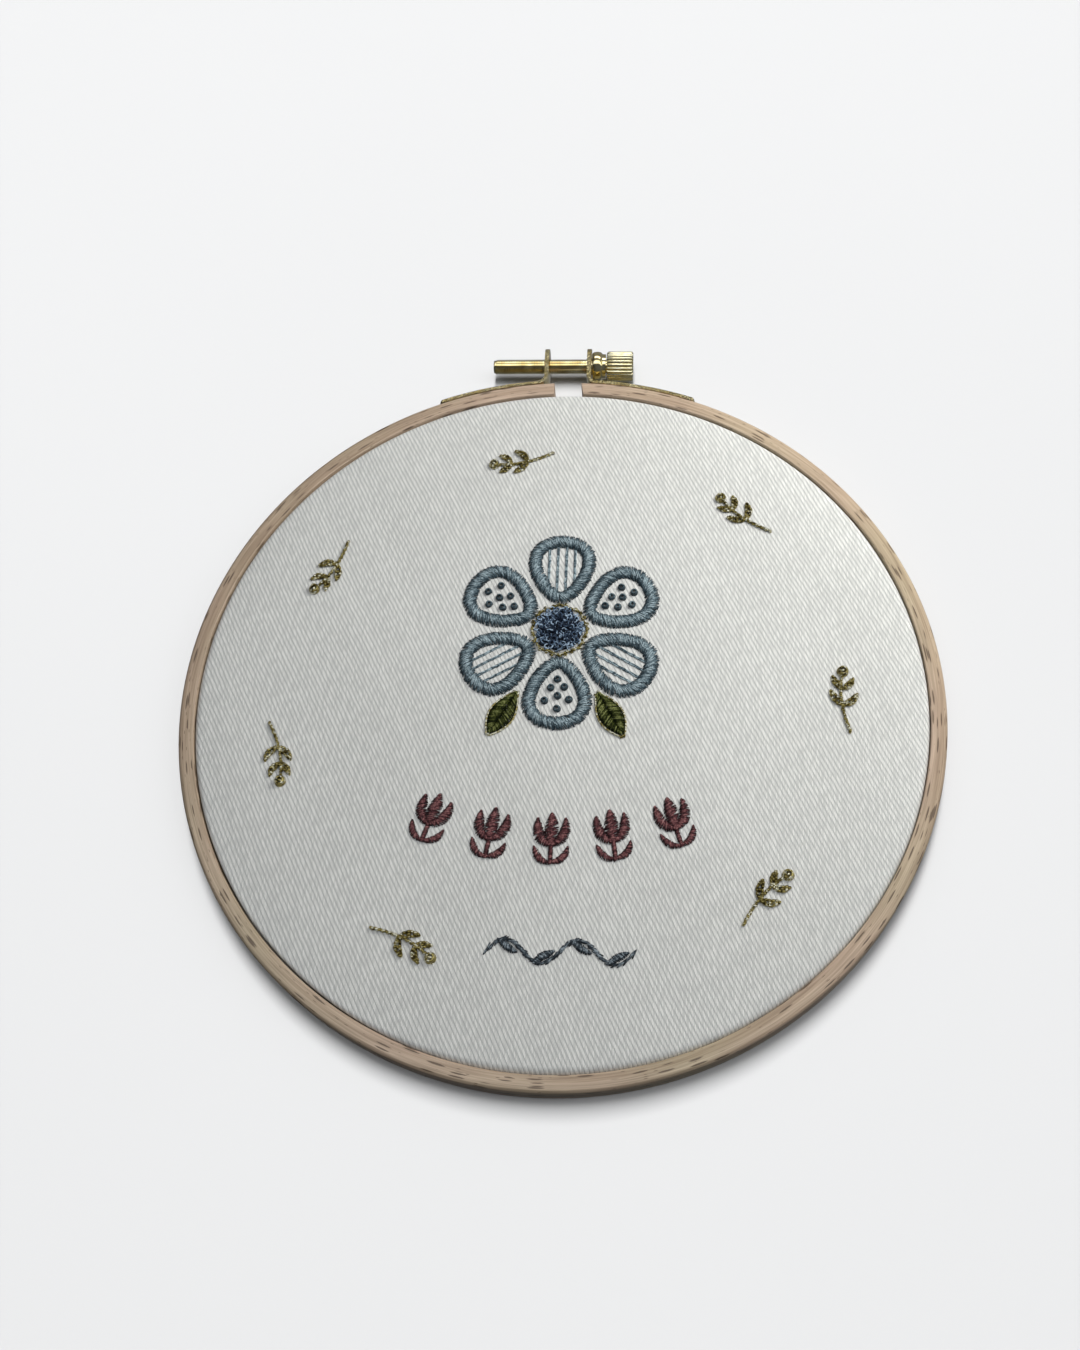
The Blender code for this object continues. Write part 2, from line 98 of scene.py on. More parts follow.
# %% Material helpers
def new_material(name, roughness, metallic=0.0, **more):
    """A Principled material, its node tree and its shader, on which constant values go directly."""
    material = bpy.data.materials.new(name)
    material.use_nodes = True
    shader = material.node_tree.nodes["Principled BSDF"]
    for socket, value in {"Roughness": roughness, "Metallic": metallic, **more}.items():
        shader.inputs[socket.replace("_", " ")].default_value = value
    return material, material.node_tree, shader


def node(tree, kind, inputs=(), **options):
    """Adds a node. An input is a number, a colour or another node's output."""
    made = tree.nodes.new("ShaderNode" + kind)
    for option, value in options.items():
        setattr(made, option, value)
    for socket, value in dict(inputs).items():
        if isinstance(value, bpy.types.NodeSocket):
            tree.links.new(value, made.inputs[socket])
        else:
            made.inputs[socket].default_value = value
    return made


def ramp(factor, stops):
    """A colour ramp. Each stop is a place from 0 to 1 and a colour or grey value."""
    made = node(factor.id_data, "ValToRGB", {"Fac": factor})
    elements = made.color_ramp.elements
    while len(elements) < len(stops):
        elements.new(0.5)
    for element, (place, colour) in zip(elements, stops):
        element.position = place
        element.color = (*colour, 1.0) if isinstance(colour, tuple) else (colour, colour, colour, 1.0)
    return made.outputs["Color"]


def mixed(share, first, second, blend="MIX"):
    """Mixes two colours, each four numbers or another node's output."""
    inputs = {0: share, 6: first, 7: second}
    return node(first.id_data, "Mix", inputs, data_type="RGBA", blend_type=blend).outputs[2]


def calc(operation, first, *rest):
    """One step of arithmetic, whose first value is another node's output."""
    return node(first.id_data, "Math", enumerate((first, *rest)), operation=operation).outputs["Value"]


def swung(base, value, middle, strength):
    """The base plus the strength times the value's distance from its middle."""
    return calc("MULTIPLY_ADD", calc("SUBTRACT", value, middle), strength, base)


def object_place(tree):
    return node(tree, "TexCoord").outputs["Object"]


def xyz(place):
    return node(place.id_data, "SeparateXYZ", {"Vector": place}).outputs.values()


def mapped(place, **inputs):
    return node(place.id_data, "Mapping", {"Vector": place, **inputs}).outputs["Vector"]


def noise(place, scale, detail=2.0):
    inputs = {"Vector": place, "Scale": scale, "Detail": detail}
    return node(place.id_data, "TexNoise", inputs).outputs["Fac"]


def dress(shader, colour, height, strength, distance):
    """Gives a shader its colour and a bump."""
    tree = shader.id_data
    tree.links.new(colour, shader.inputs["Base Color"])
    relief = node(tree, "Bump", {"Height": height, "Strength": strength, "Distance": distance})
    tree.links.new(relief.outputs["Normal"], shader.inputs["Normal"])


# %% [markdown]
# ## Floor and light
# The photo's page is plain and even, while the light on the hoop fades from the upper right to the lower
# left. A wide matte floor stands in for the page. It throws no light back, so the ring's sides stay dark.
# Each lamp is linked to what it lights. One near the hoop gives the fading light. One far behind lights
# the floor alone and is long from front to back, so the shadow at the front edge starts dark and fades
# out. The sky is a band of light overhead, like a long window. Brass mirrors it as one bright line
# between two dark ones, and a third lamp gives the screw a glint above that.

# %% Floor
bm = bmesh.new()
bmesh.ops.create_grid(bm, x_segments=1, y_segments=1, size=3.0)
floor_mesh = bpy.data.meshes.new("floor")
bm.to_mesh(floor_mesh)
bm.free()
floor = bpy.data.objects.new("floor", floor_mesh)
bpy.context.scene.collection.objects.link(floor)
paper, tree, shader = new_material("pale paper", 0.9)
place = object_place(tree)
paper_colour = ramp(noise(place, 3.0), ((0.3, 0.545), (0.7, 0.555)))
tree.links.new(paper_colour, shader.inputs["Base Color"])
floor_mesh.materials.append(paper)
floor.visible_diffuse = False
floor.visible_glossy = False
print("floor made")

# %% Light
scene = bpy.context.scene
scene.view_settings.view_transform = "Standard"
scene.world = bpy.data.worlds.new("studio")
scene.world.use_nodes = True
tree = scene.world.node_tree
sky = tree.nodes["Background"]
x, y, z = xyz(node(tree, "TexCoord").outputs["Generated"])
from_zenith = calc("ARCTAN2", y, z)
share_of_sky = calc("MULTIPLY_ADD", from_zenith, 1.0 / math.pi, 0.5)
SKY_DARK = (0.038, 0.040, 0.043)
SKY_BRIGHT = (0.97, 0.985, 1.0)
SKY_DIM = (0.066, 0.069, 0.075)
SKY_BEHIND = (0.10, 0.102, 0.107)
SKY_STRENGTH = 2.22
SKY = (  # from the camera's side over the zenith to behind the hoop
    (0.0, SKY_DARK),
    (0.42, SKY_DARK),
    (0.475, SKY_BRIGHT),
    (0.56, SKY_BRIGHT),
    (0.61, SKY_DIM),
    (1.0, SKY_BEHIND),
)
across_sky = calc("MULTIPLY_ADD", x, 0.5, 0.5)
dimmed = ramp(across_sky, ((0.05, 0.15), (0.42, 1.0)))
tree.links.new(mixed(1.0, ramp(share_of_sky, SKY), dimmed, "MULTIPLY"), sky.inputs["Color"])
sky.inputs["Strength"].default_value = SKY_STRENGTH
lit_by = {name: bpy.data.collections.new(f"lit by the {name} lamp") for name in ("hoop", "screw", "page")}
lit_by["page"].objects.link(floor)


def add_lamp(name, place, size, power, colour=(1.0, 1.0, 1.0), mirrored=False):
    """An area lamp that faces the hoop's centre and lights its own collection."""
    lamp = bpy.data.objects.new(name + " lamp", bpy.data.lights.new(name + " lamp", "AREA"))
    lamp.data.shape = "RECTANGLE"
    lamp.data.size, lamp.data.size_y = size
    lamp.data.energy = power
    lamp.data.color = colour
    scene.collection.objects.link(lamp)
    lamp.location = hoop_centre + Vector(place)
    lamp.rotation_euler = (-Vector(place)).to_track_quat("-Z", "Y").to_euler()
    lamp.light_linking.receiver_collection = lit_by[name]
    lamp.visible_camera = False
    lamp.visible_glossy = mirrored


add_lamp("hoop", (0.17, 0.15, 0.19), size=(0.12, 0.12), power=0.58, colour=(1.0, 0.985, 0.94))
add_lamp("screw", (0.05, 0.42, 0.33), size=(0.45, 0.15), power=0.65, mirrored=True)
add_lamp("page", (0.0, 1.03, 2.6), size=(0.4, 1.6), power=99.0)
print("world and lamps made")

# %% [markdown]
# ## From bmesh to piece
# Every piece ends the same way: it gets a material and smooth shading that breaks at sharp edges, rides
# on a body of the model, and hides the plain solid that it replaces. Thread is laid with its faces
# outwards and is smooth all over.

# %% Finish a piece
def finish_piece(name, bm, material, slot, replaces=(), body="frame"):
    is_thread = slot.startswith("thread")
    if not is_thread:
        bmesh.ops.recalc_face_normals(bm, faces=bm.faces)
    mesh = bpy.data.meshes.new(name)
    bm.to_mesh(mesh)
    bm.free()
    mesh.materials.append(material)
    mesh.shade_smooth()
    if not is_thread:
        mesh.set_sharp_from_angle(angle=math.radians(50.0))
    piece = bpy.data.objects.new(name, mesh)
    scene.collection.objects.link(piece)
    lit_by["hoop"].objects.link(piece)
    if body != "frame":
        lit_by["screw"].objects.link(piece)
    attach(piece, body)
    if replaces:
        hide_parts(*replaces)
    print(f"{name}: {len(mesh.polygons)} faces")
    return piece


def spin_about(bm, geometry, centre, axis, angle, steps, per_step=ORIGIN, merge=False):
    """Spins geometry and returns what stands at the end of the turn."""
    made = bmesh.ops.spin(
        bm, geom=geometry, cent=centre, axis=axis, dvec=per_step, angle=angle, steps=steps, use_merge=merge
    )
    return made["geom_last"]


def bevel(bm, edges, radius, segments):
    bmesh.ops.bevel(
        bm, geom=edges, offset=radius, segments=segments, profile=0.5, affect="EDGES", material=-1
    )


def heading(along):
    """The angle of a direction in the cloth's plane."""
    return math.atan2(along.y, along.x)


def toward(angle):
    """The direction at an angle in the cloth's plane."""
    return Vector((math.cos(angle), math.sin(angle)))


# %% [markdown]
# ## Cloth
# One disc of cotton twill is pulled over the inner ring and clamped by the outer one. It could be
# simulated, but cloth drawn this tight is simply flat with a rounded rim, so its section is spun about
# the hoop's centre. The rings don't grip evenly: at the lower left the rim is drawn in and bends more
# sharply, which leaves a narrow dark gap.

# %% Cloth sheet
RING_WIDTH = 4.0 * MM
RIM_ROUNDING = 1.8 * MM
TWILL_THICKNESS = 0.7 * MM
rim_radius = ring_radius - RING_WIDTH - 0.08 * MM
SLACK_GAP = 0.40 * MM
SLACK_ROUNDING = 0.7 * MM
SLACK_MIDDLE = math.radians(222.0)
SLACK_REACH = math.radians(48.0)
RIM_STEPS = 6
STEPS_ROUND = 192


def cloth_section(radius, rounding):
    """The cloth's section from the middle to its lower edge: flat, round the rim, and down."""
    section = [Vector((r * MM, 0.0, cloth_top)) for r in (8.0, 25.0, 45.0, 65.0, 80.0)]
    for step in range(RIM_STEPS + 1):
        angle = math.radians(90.0 * (1.0 - step / RIM_STEPS))
        inset = Vector((math.cos(angle) - 1.0, 0.0, math.sin(angle) - 1.0)) * rounding
        section.append(Vector((radius, 0.0, cloth_top)) + inset)
    section.append(Vector((radius, 0.0, cloth_low.z)))
    return section


bm = bmesh.new()
section = cloth_section(rim_radius, RIM_ROUNDING)
slack_section = cloth_section(rim_radius - SLACK_GAP, SLACK_ROUNDING)
verts = [bm.verts.new(hoop_centre + point) for point in section]
edges = [bm.edges.new(pair) for pair in zip(verts, verts[1:])]
spin_about(bm, verts + edges, hoop_centre, Z_AXIS, math.tau, STEPS_ROUND, merge=True)
for vert in bm.verts:
    out = vert.co - hoop_centre
    here = Vector((out.xy.length, 0.0, out.z))
    index = min(range(len(section)), key=lambda i: (section[i] - here).length)
    off_middle = (heading(out) - SLACK_MIDDLE) % math.tau
    off_middle = min(off_middle, math.tau - off_middle) / SLACK_REACH
    slack = math.cos(off_middle * math.pi / 2) ** 2 if off_middle < 1.0 else 0.0
    moved = here.lerp(slack_section[index], slack)
    vert.co = hoop_centre + Vector((out.x * moved.x / here.x, out.y * moved.x / here.x, moved.z))
middle = [e for e in bm.edges if e.is_boundary and e.verts[0].co.z > cloth_top - 1e-6]
bmesh.ops.edgenet_fill(bm, edges=middle)
print("cloth section points:", len(section))

# %% [markdown]
# In this twill each warp thread passes over three weft threads and under one, and its neighbour does the
# same one weft lower. The floats step down to the right and read as steep ribs, one millimetre apart. The
# pattern follows that rule: the warp thread's number shifts the place in the four-weft cycle. Noise bends
# the threads, and each float has its own brightness. The colour also follows each float's height, lighter
# on its crest and darker where it dives under: painted highlight and painted shade, on top of the bump.

# %% Twill finish
WARP_PITCH = 0.283 * MM
WEFT_PITCH = 0.53 * MM
WEFTS_IN_CYCLE = 4.0
FLOAT_LENGTH = 0.84  # share of the cycle in which the warp thread lies on top
twill, tree, shader = new_material("cotton twill", 0.95, Sheen_Weight=0.2, Sheen_Roughness=0.5)
place = object_place(tree)


def bent(place, scale, reach):
    """Moves places by noise, at most by half the reach, which wavers a pattern."""
    sway = noise(place, scale).node.outputs["Color"]
    inputs = {0: sway, 1: (reach, reach, 0.0), 2: place}
    return node(place.id_data, "VectorMath", inputs, operation="MULTIPLY_ADD").outputs[0]


bent_place = bent(bent(place, 16.0, 2.4 * MM), 380.0, 0.34 * MM)
x, y, _ = xyz(bent_place)
u = calc("MULTIPLY", x, 1.0 / WARP_PITCH)
v = calc("MULTIPLY", y, 1.0 / WEFT_PITCH)
warp = calc("FLOOR", u)
across = calc("MULTIPLY_ADD", calc("FRACT", u), 2.0, -1.0)
cycle = calc("MULTIPLY", calc("ADD", v, warp), 1.0 / WEFTS_IN_CYCLE)
along = calc("MULTIPLY_ADD", calc("FRACT", cycle), 2.0 / FLOAT_LENGTH, -1.0)
arch = calc("MULTIPLY_ADD", calc("POWER", calc("ABSOLUTE", along), 4.0), -1.0, 1.0)
from_crest = calc("MULTIPLY", across, across)
barrel = calc("MULTIPLY_ADD", from_crest, -0.75, 1.0)
on_top = calc("MAXIMUM", calc("MULTIPLY", arch, barrel), 0.0)
float_number = calc("MULTIPLY_ADD", calc("FLOOR", cycle), 17.0, warp)
luck = node(tree, "TexWhiteNoise", {"W": float_number}, noise_dimensions="1D").outputs["Value"]
fibre = noise(place, 4200.0)
weave = swung(on_top, luck, 0.5, 0.34)
weave = swung(weave, fibre, 0.5, 0.35)
# Grey to white along the weave's height: painted shade between the floats, painted highlight on crests.
COTTON_AND_PAINTED_WEAVE_SHADE = (
    (0.0, (0.50, 0.505, 0.50)),
    (0.50, (0.645, 0.65, 0.625)),
    (0.80, (0.76, 0.765, 0.735)),
    (1.0, (0.95, 0.95, 0.92)),
)
cotton = ramp(weave, COTTON_AND_PAINTED_WEAVE_SHADE)
clouds = noise(place, 30.0, 4.0)
cotton = mixed(1.0, cotton, ramp(clouds, ((0.3, 0.95), (0.7, 1.0))), "MULTIPLY")
dress(shader, cotton, weave, 0.45, 0.10 * MM)
cloth = finish_piece("twill_sheet", bm, twill, "twill", ["cloth"])
solidify = cloth.modifiers.new("thickness", "SOLIDIFY")
solidify.thickness = TWILL_THICKNESS
solidify.offset = -1.0
print("warp threads per 10 mm:", round(10 * MM / WARP_PITCH))

# %% [markdown]
# ## Beech rings
# Each ring is a strip of beech, steamed and bent. A spun section is the plainest way to a ring: four
# corners make the section, a turn makes the ring, and a bevel rounds its long edges. Planes trim the
# outer ring's ends at the gap, the right one slightly askew.

# %% Ring helpers
def ring_corners(bm, inner, outer, low, high, start):
    """The four corners of a ring's section, at an angle from +Y, and the edges between them."""
    out = Vector((math.sin(start), math.cos(start), 0.0))
    rows = ((inner, low), (outer, low), (outer, high), (inner, high))
    verts = [bm.verts.new(hoop_centre + out * r + Z_AXIS * z) for r, z in rows]
    return verts, [bm.edges.new((a, b)) for a, b in zip(verts, verts[1:] + verts[:1])]


def round_long_edges(bm, radius, least, most, segments):
    """Bevels the edges that run round the hoop between two distances from its centre."""
    chosen = []
    for edge in bm.edges:
        ends = [(v.co - hoop_centre).xy.length for v in edge.verts]
        level = abs(edge.verts[0].co.z - edge.verts[1].co.z) < 1e-7
        if level and abs(ends[0] - ends[1]) < 1e-6 and least < ends[0] < most:
            chosen.append(edge)
    bevel(bm, chosen, radius, segments)


# %% Outer ring
GAP_LEFT = -4.2 * MM
GAP_RIGHT_OUTER = 3.1 * MM
GAP_RIGHT_INNER = 3.8 * MM
EDGE_ROUNDING = 1.1 * MM
INSIDE_ROUNDING = 0.3 * MM
OUTER_STEPS = 240
inside = ring_radius - RING_WIDTH
spare = math.radians(1.2)
bm = bmesh.new()
verts, edges = ring_corners(bm, inside, ring_radius, ring_low.z, ring_high.z, spare)
bm.faces.new(verts)
spin_about(bm, verts + edges, hoop_centre, -Z_AXIS, math.tau - 2 * spare, OUTER_STEPS)
bmesh.ops.holes_fill(bm, edges=[e for e in bm.edges if e.is_boundary], sides=8)
round_long_edges(bm, EDGE_ROUNDING, ring_radius - 0.5 * MM, ring_radius + 0.5 * MM, 5)
round_long_edges(bm, INSIDE_ROUNDING, inside - 0.5 * MM, inside + 0.1 * MM, 3)
askew = Vector((GAP_RIGHT_OUTER - GAP_RIGHT_INNER, RING_WIDTH, 0.0)).normalized()
cuts = (
    (hoop_centre + Vector((GAP_LEFT, ring_radius, 0.0)), X_AXIS, -1.0),
    (hoop_centre + Vector((GAP_RIGHT_OUTER, ring_radius, 0.0)), Vector((-askew.y, askew.x, 0.0)), 1.0),
)
for point, outside, side in cuts:
    near = set()
    for face in bm.faces:
        middle = face.calc_center_median()
        if middle.y > hoop_centre.y and -1.0 * MM < side * middle.x < 12.0 * MM:
            near.update((face, *face.edges, *face.verts))
    bmesh.ops.bisect_plane(bm, geom=list(near), plane_co=point, plane_no=outside, clear_outer=True)
    bmesh.ops.edgenet_fill(bm, edges=[e for e in bm.edges if e.is_boundary])
print("outer ring open edges:", sum(e.is_boundary for e in bm.edges))

# %% [markdown]
# Beech is pale and pinkish, with short dark brown flecks along the grain. The grain follows the bend, so
# the pattern is laid out in arc length, radius and height. The angle is counted from the bottom of the
# hoop, which puts its jump into the gap. Long thin cells make the flecks, and stretched noise makes the
# grain.

# %% Beech finish
beech, tree, shader = new_material("bent beech", 0.5, Coat_Weight=0.12, Coat_Roughness=0.35)
place = object_place(tree)
from_centre = mapped(place, Location=-hoop_centre)
x, y, z = xyz(from_centre)
angle = calc("ARCTAN2", x, calc("MULTIPLY", y, -1.0))
arc = calc("MULTIPLY", angle, ring_radius)
flat_place = node(tree, "CombineXYZ", {"X": x, "Y": y}).outputs["Vector"]
reach = node(tree, "VectorMath", {0: flat_place}, operation="LENGTH").outputs["Value"]
grain_place = node(tree, "CombineXYZ", {"X": arc, "Y": reach, "Z": z}).outputs["Vector"]


def grain_noise(scale, detail):
    """Noise with a scale of its own along the grain, across it and in height."""
    return noise(mapped(grain_place, Scale=scale), 1.0, detail)


streaks = grain_noise((70.0, 3000.0, 2400.0), 4.0)
bands = grain_noise((14.0, 520.0, 400.0), 2.0)
tones = grain_noise((22.0, 60.0, 60.0), 1.0)
FLECK_FADE = 0.11
FLECK_STRENGTH = 0.88
FLECK_BROWN = (0.12, 0.08, 0.052, 1.0)


def flecks(scale, share, core):
    """Long thin dashes: a share of the cells, each dark near its middle."""
    swayed = bent(grain_place, 500.0, 0.15 * MM)
    cells = node(tree, "TexVoronoi", {"Vector": mapped(swayed, Scale=scale), "Scale": 1.0})
    chance = node(tree, "SeparateColor", {"Color": cells.outputs["Color"]}).outputs["Red"]
    kept = calc("GREATER_THAN", chance, 1.0 - share)
    middle = ramp(cells.outputs["Distance"], ((core, 1.0), (core + FLECK_FADE, 0.0)))
    return calc("MULTIPLY", kept, middle)


long_flecks = flecks((165.0, 1750.0, 1000.0), 0.38, 0.28)
short_flecks = flecks((420.0, 3400.0, 2600.0), 0.16, 0.16)
fleck = calc("MAXIMUM", long_flecks, short_flecks)
BEECH = ((0.30, (0.375, 0.285, 0.21)), (0.52, (0.515, 0.403, 0.302)), (0.72, (0.63, 0.51, 0.39)))
wood = ramp(streaks, BEECH)
growth = ramp(bands, ((0.36, (0.82, 0.79, 0.76)), (0.56, (1.0, 1.0, 1.0))))
wood = mixed(1.0, wood, growth, "MULTIPLY")
tone = ramp(tones, ((0.35, (1.02, 0.97, 0.96)), (0.65, (0.97, 1.0, 0.92))))
wood = mixed(1.0, wood, tone, "MULTIPLY")
wood = mixed(calc("MULTIPLY", fleck, FLECK_STRENGTH), wood, FLECK_BROWN)
surface = calc("SUBTRACT", streaks, calc("MULTIPLY", fleck, 0.5))
dress(shader, wood, surface, 0.35, 0.08 * MM)
finish_piece("beech_outer_ring", bm, beech, "beech", ["outer_ring"])
print("flecks up to 4 mm long")

# %% [markdown]
# The inner ring shows only from the back. It is a closed ring of the same strip, with small chamfers.

# %% Inner ring
inner_low, inner_high = map(Vector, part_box("inner_ring"))
inner_radius = (inner_high.x - inner_low.x) / 2
INNER_WIDTH = 4.5 * MM
bm = bmesh.new()
verts, edges = ring_corners(bm, inner_radius - INNER_WIDTH, inner_radius, inner_low.z, inner_high.z, 0.0)
spin_about(bm, verts + edges, hoop_centre, Z_AXIS, math.tau, STEPS_ROUND, merge=True)
round_long_edges(bm, 0.4 * MM, inner_radius - INNER_WIDTH - 1.0 * MM, inner_radius + 1.0 * MM, 2)
finish_piece("beech_inner_ring", bm, beech, "beech", ["inner_ring"])

# %% [markdown]
# ## Brass fittings
# Two straps of brass hug the outer ring and bend up into lugs that carry the screw. The screw and its
# collar are turned, so they mirror the sky. The knob's ribs are pressed in and a little rough, and its
# brass is a paler copy of the rod's: a painted highlight for the light the knob catches. The straps are
# smooth sheet, but their sheared edges break the mirror into specks, so scuffs begin just below their
# upper edge.

# %% Brass finishes
def brass_finish(name, dark, light, roughness, scuff_scale, relief, edge_height=0.0):
    """Brass with clouds of tarnish. Above a height its scuffs stand out by the relief, in millimetres."""
    material, tree, shader = new_material(name, roughness, 1.0)
    place = object_place(tree)
    tarnish = noise(place, 420.0, 4.0)
    colour = ramp(tarnish, ((0.35, dark), (0.65, light)))
    scuffs = noise(place, scuff_scale, 3.0)
    dulled = calc("MULTIPLY_ADD", scuffs, 0.16, roughness - 0.08)
    tree.links.new(dulled, shader.inputs["Roughness"])
    at_edge = calc("GREATER_THAN", xyz(place)[2], edge_height)
    dress(shader, colour, calc("MULTIPLY", scuffs, at_edge), 1.0, relief * MM)
    return material


strap_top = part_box("strap_left")[1][2]
turned_brass = brass_finish("turned brass", (0.76, 0.63, 0.30), (0.98, 0.89, 0.58), 0.10, 1800.0, 0.005)
# The knob's brass is painted paler than the rod's: painted highlight.
knob_brass_painted_pale = brass_finish("knurled brass", (0.95, 0.84, 0.48), (1.0, 0.96, 0.70), 0.22, 2200.0, 0.02)
sheet_tones = ((0.72, 0.57, 0.25), (0.96, 0.84, 0.50))
sheet_brass = brass_finish("sheet brass", *sheet_tones, 0.15, 1600.0, 0.70, strap_top - 0.3 * MM)
print("brass made")

# %% [markdown]
# Each strap is one flat bar, so its section is spun round the hoop, spun the other way round the bend,
# and extruded straight up. The screw's hole could be cut by a boolean, but the lug's faces are flat, so
# filling them again round a circle does it with fewer faces.

# %% Straps
SHEET_THICKNESS = 0.9 * MM
LUG_THICKNESS = 1.25 * MM
PLAIN_LUG = 1.1 * MM  # the lug's thickness in the model's plain solid
STRAP_GAP = 0.15 * MM
STRAPS = {"left": (-1.0, 2.8 * MM, 35.5 * MM), "right": (1.0, 2.2 * MM, 34.0 * MM)}  # mirror, bend, reach
TIP_ROUNDING = 3.3 * MM
BORE_RADIUS = 2.35 * MM
TIP_STEPS = 28
BEND_STEPS = 8
strap_radius = ring_radius + STRAP_GAP + SHEET_THICKNESS / 2
screw_low, screw_high = map(Vector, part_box("thumbscrew"))
screw_axis = (screw_low + screw_high) / 2
screw_axis.x = hoop_centre.x
to_x = Matrix.Rotation(math.pi / 2, 4, "Y")


def cylinder(bm, sides, radius, length, matrix):
    bmesh.ops.create_cone(
        bm, cap_ends=True, segments=sides, radius1=radius, radius2=radius, depth=length, matrix=matrix
    )


def disc(bm, sides, radius, matrix):
    made = bmesh.ops.create_circle(bm, cap_ends=True, segments=sides, radius=radius, matrix=matrix)
    return made["verts"][0].link_faces[0]


def of_kind(geometry, kind):
    return [part for part in geometry if isinstance(part, kind)]


def cut_bore(bm, broad_faces, centre):
    """Fills each broad face of the lug again with a round hole in it, and joins the two holes."""
    rims = []
    for face in broad_faces:
        outline = list(face.edges)
        place = Matrix.Translation((face.calc_center_median().x, centre.y, centre.z))
        bmesh.ops.delete(bm, geom=[face], context="FACES_ONLY")
        rim = bmesh.ops.create_circle(bm, segments=32, radius=BORE_RADIUS, matrix=place @ to_x)["verts"]
        rim_edges = list({edge for vert in rim for edge in vert.link_edges})
        bmesh.ops.triangle_fill(bm, use_beauty=True, edges=outline + rim_edges, normal=X_AXIS)
        rims += rim_edges
    bmesh.ops.bridge_loops(bm, edges=rims)


for side, (mirror, bend_inside, reach) in STRAPS.items():
    low, high = map(Vector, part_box("strap_" + side))
    lug_x = (low.x if mirror > 0 else -high.x) + PLAIN_LUG / 2
    bend_radius = strap_radius + bend_inside
    bend = math.asin((lug_x + bend_inside) / bend_radius)
    tip = math.asin(reach / strap_radius)
    bm = bmesh.new()
    out = Vector((math.sin(bend), math.cos(bend), 0.0))
    half = SHEET_THICKNESS / 2
    corners = ((-half, low.z), (half, low.z), (half, high.z), (-half, high.z))
    start = bm.faces.new([bm.verts.new(out * (strap_radius + r) + Z_AXIS * z) for r, z in corners])
    tip_end = spin_about(bm, [start], ORIGIN, -Z_AXIS, tip - bend, TIP_STEPS)
    bend_end = spin_about(bm, [start], out * bend_radius, -Z_AXIS, math.pi / 2 - bend, BEND_STEPS)
    bend_face = of_kind(bend_end, BMFace)[0]
    lug_end = bmesh.ops.extrude_face_region(bm, geom=[bend_face])["geom"]
    lug_verts = of_kind(lug_end, BMVert)
    for vert in lug_verts:
        vert.co.y = high.y - hoop_centre.y
    for vert in lug_verts + list(bend_face.verts):
        vert.co.x = lug_x + (vert.co.x - lug_x) * LUG_THICKNESS / SHEET_THICKNESS
    short = [
        edge
        for face in of_kind([*tip_end, *lug_end], BMFace)
        for edge in face.edges
        if abs(edge.verts[0].co.z - edge.verts[1].co.z) < 1e-6
    ]
    bmesh.ops.delete(bm, geom=[start, bend_face], context="FACES_ONLY")
    bmesh.ops.remove_doubles(bm, verts=bm.verts, dist=1e-6)
    bevel(bm, short, TIP_ROUNDING, 7)
    bm.normal_update()
    lug_foot = bend_radius * math.cos(bend)
    broad = [f for f in bm.faces if abs(f.normal.x) > 0.99 and f.calc_center_median().y > lug_foot]
    cut_bore(bm, broad, screw_axis - hoop_centre)
    bmesh.ops.scale(bm, vec=(mirror, 1.0, 1.0), verts=bm.verts)
    bmesh.ops.translate(bm, vec=hoop_centre, verts=bm.verts)
    strap = finish_piece("brass_strap_" + side, bm, sheet_brass, "brass", ["strap_" + side])
    soften = strap.modifiers.new("worn edges", "BEVEL")
    soften.width = 0.25 * MM
    soften.segments = 3
    soften.angle_limit = math.radians(40.0)
    soften.harden_normals = True
    print(f"{side} lug at x = {1000 * mirror * lug_x:.2f} mm")

# %% [markdown]
# The thumbscrew is a threaded rod with a ribbed knob. A real thread is a ridge wound round a rod, and a
# spin that also steps along its axis makes just that. The knob is one disc of ribs, extruded in steps.
# Sharp grooves part its round ribs, so each one mirrors a line of light.

# %% Threaded rod
THREAD_PITCH = 0.7 * MM
THREAD_DEPTH = 0.28 * MM
ROD_RADIUS = 2.06 * MM
KNOB_START = 9.9 * MM
ROD_INTO_KNOB = 0.5 * MM
STEPS_A_TURN = 24
rod_start = screw_low.x - hoop_centre.x
core_radius = ROD_RADIUS - THREAD_DEPTH
core_length = KNOB_START + ROD_INTO_KNOB - rod_start
bm = bmesh.new()
to_core = Matrix.Translation((rod_start + core_length / 2, 0.0, 0.0))
cylinder(bm, 48, core_radius, core_length, to_core @ to_x)
start_rim = [e for e in bm.edges if all(v.co.x < rod_start + 1e-6 for v in e.verts)]
bevel(bm, start_rim, 0.25 * MM, 3)
depth = THREAD_DEPTH / MM
ridge = ((-0.33, -0.03), (-0.15, depth), (0.15, depth), (0.33, -0.03))
first = rod_start + 0.55 * MM
ridge_verts = [bm.verts.new((first + x * MM, 0.0, core_radius + r * MM)) for x, r in ridge]
ridge_face = bm.faces.new(ridge_verts)
turns = int((KNOB_START - rod_start - 0.8 * MM) / THREAD_PITCH)
per_step = (THREAD_PITCH / STEPS_A_TURN, 0.0, 0.0)
geometry = [ridge_face, *ridge_face.edges, *ridge_verts]
spin_about(bm, geometry, ORIGIN, X_AXIS, math.tau * turns, STEPS_A_TURN * turns, per_step)
bmesh.ops.translate(bm, vec=screw_axis, verts=bm.verts)
finish_piece("brass_threaded_rod", bm, turned_brass, "brass", ["thumbscrew"], body="screw")
print("turns of thread:", turns)

# %% Knob
KNOB_RIBS = 24
RIB_POINTS = 8
RIB_DEPTH = 0.36 * MM
KNOB_ROUNDING = 0.4 * MM
KNOB_DISH = 0.35 * MM
knob_radius = (screw_high.z - screw_low.z) / 2
knob_length = screw_high.x - hoop_centre.x - KNOB_START


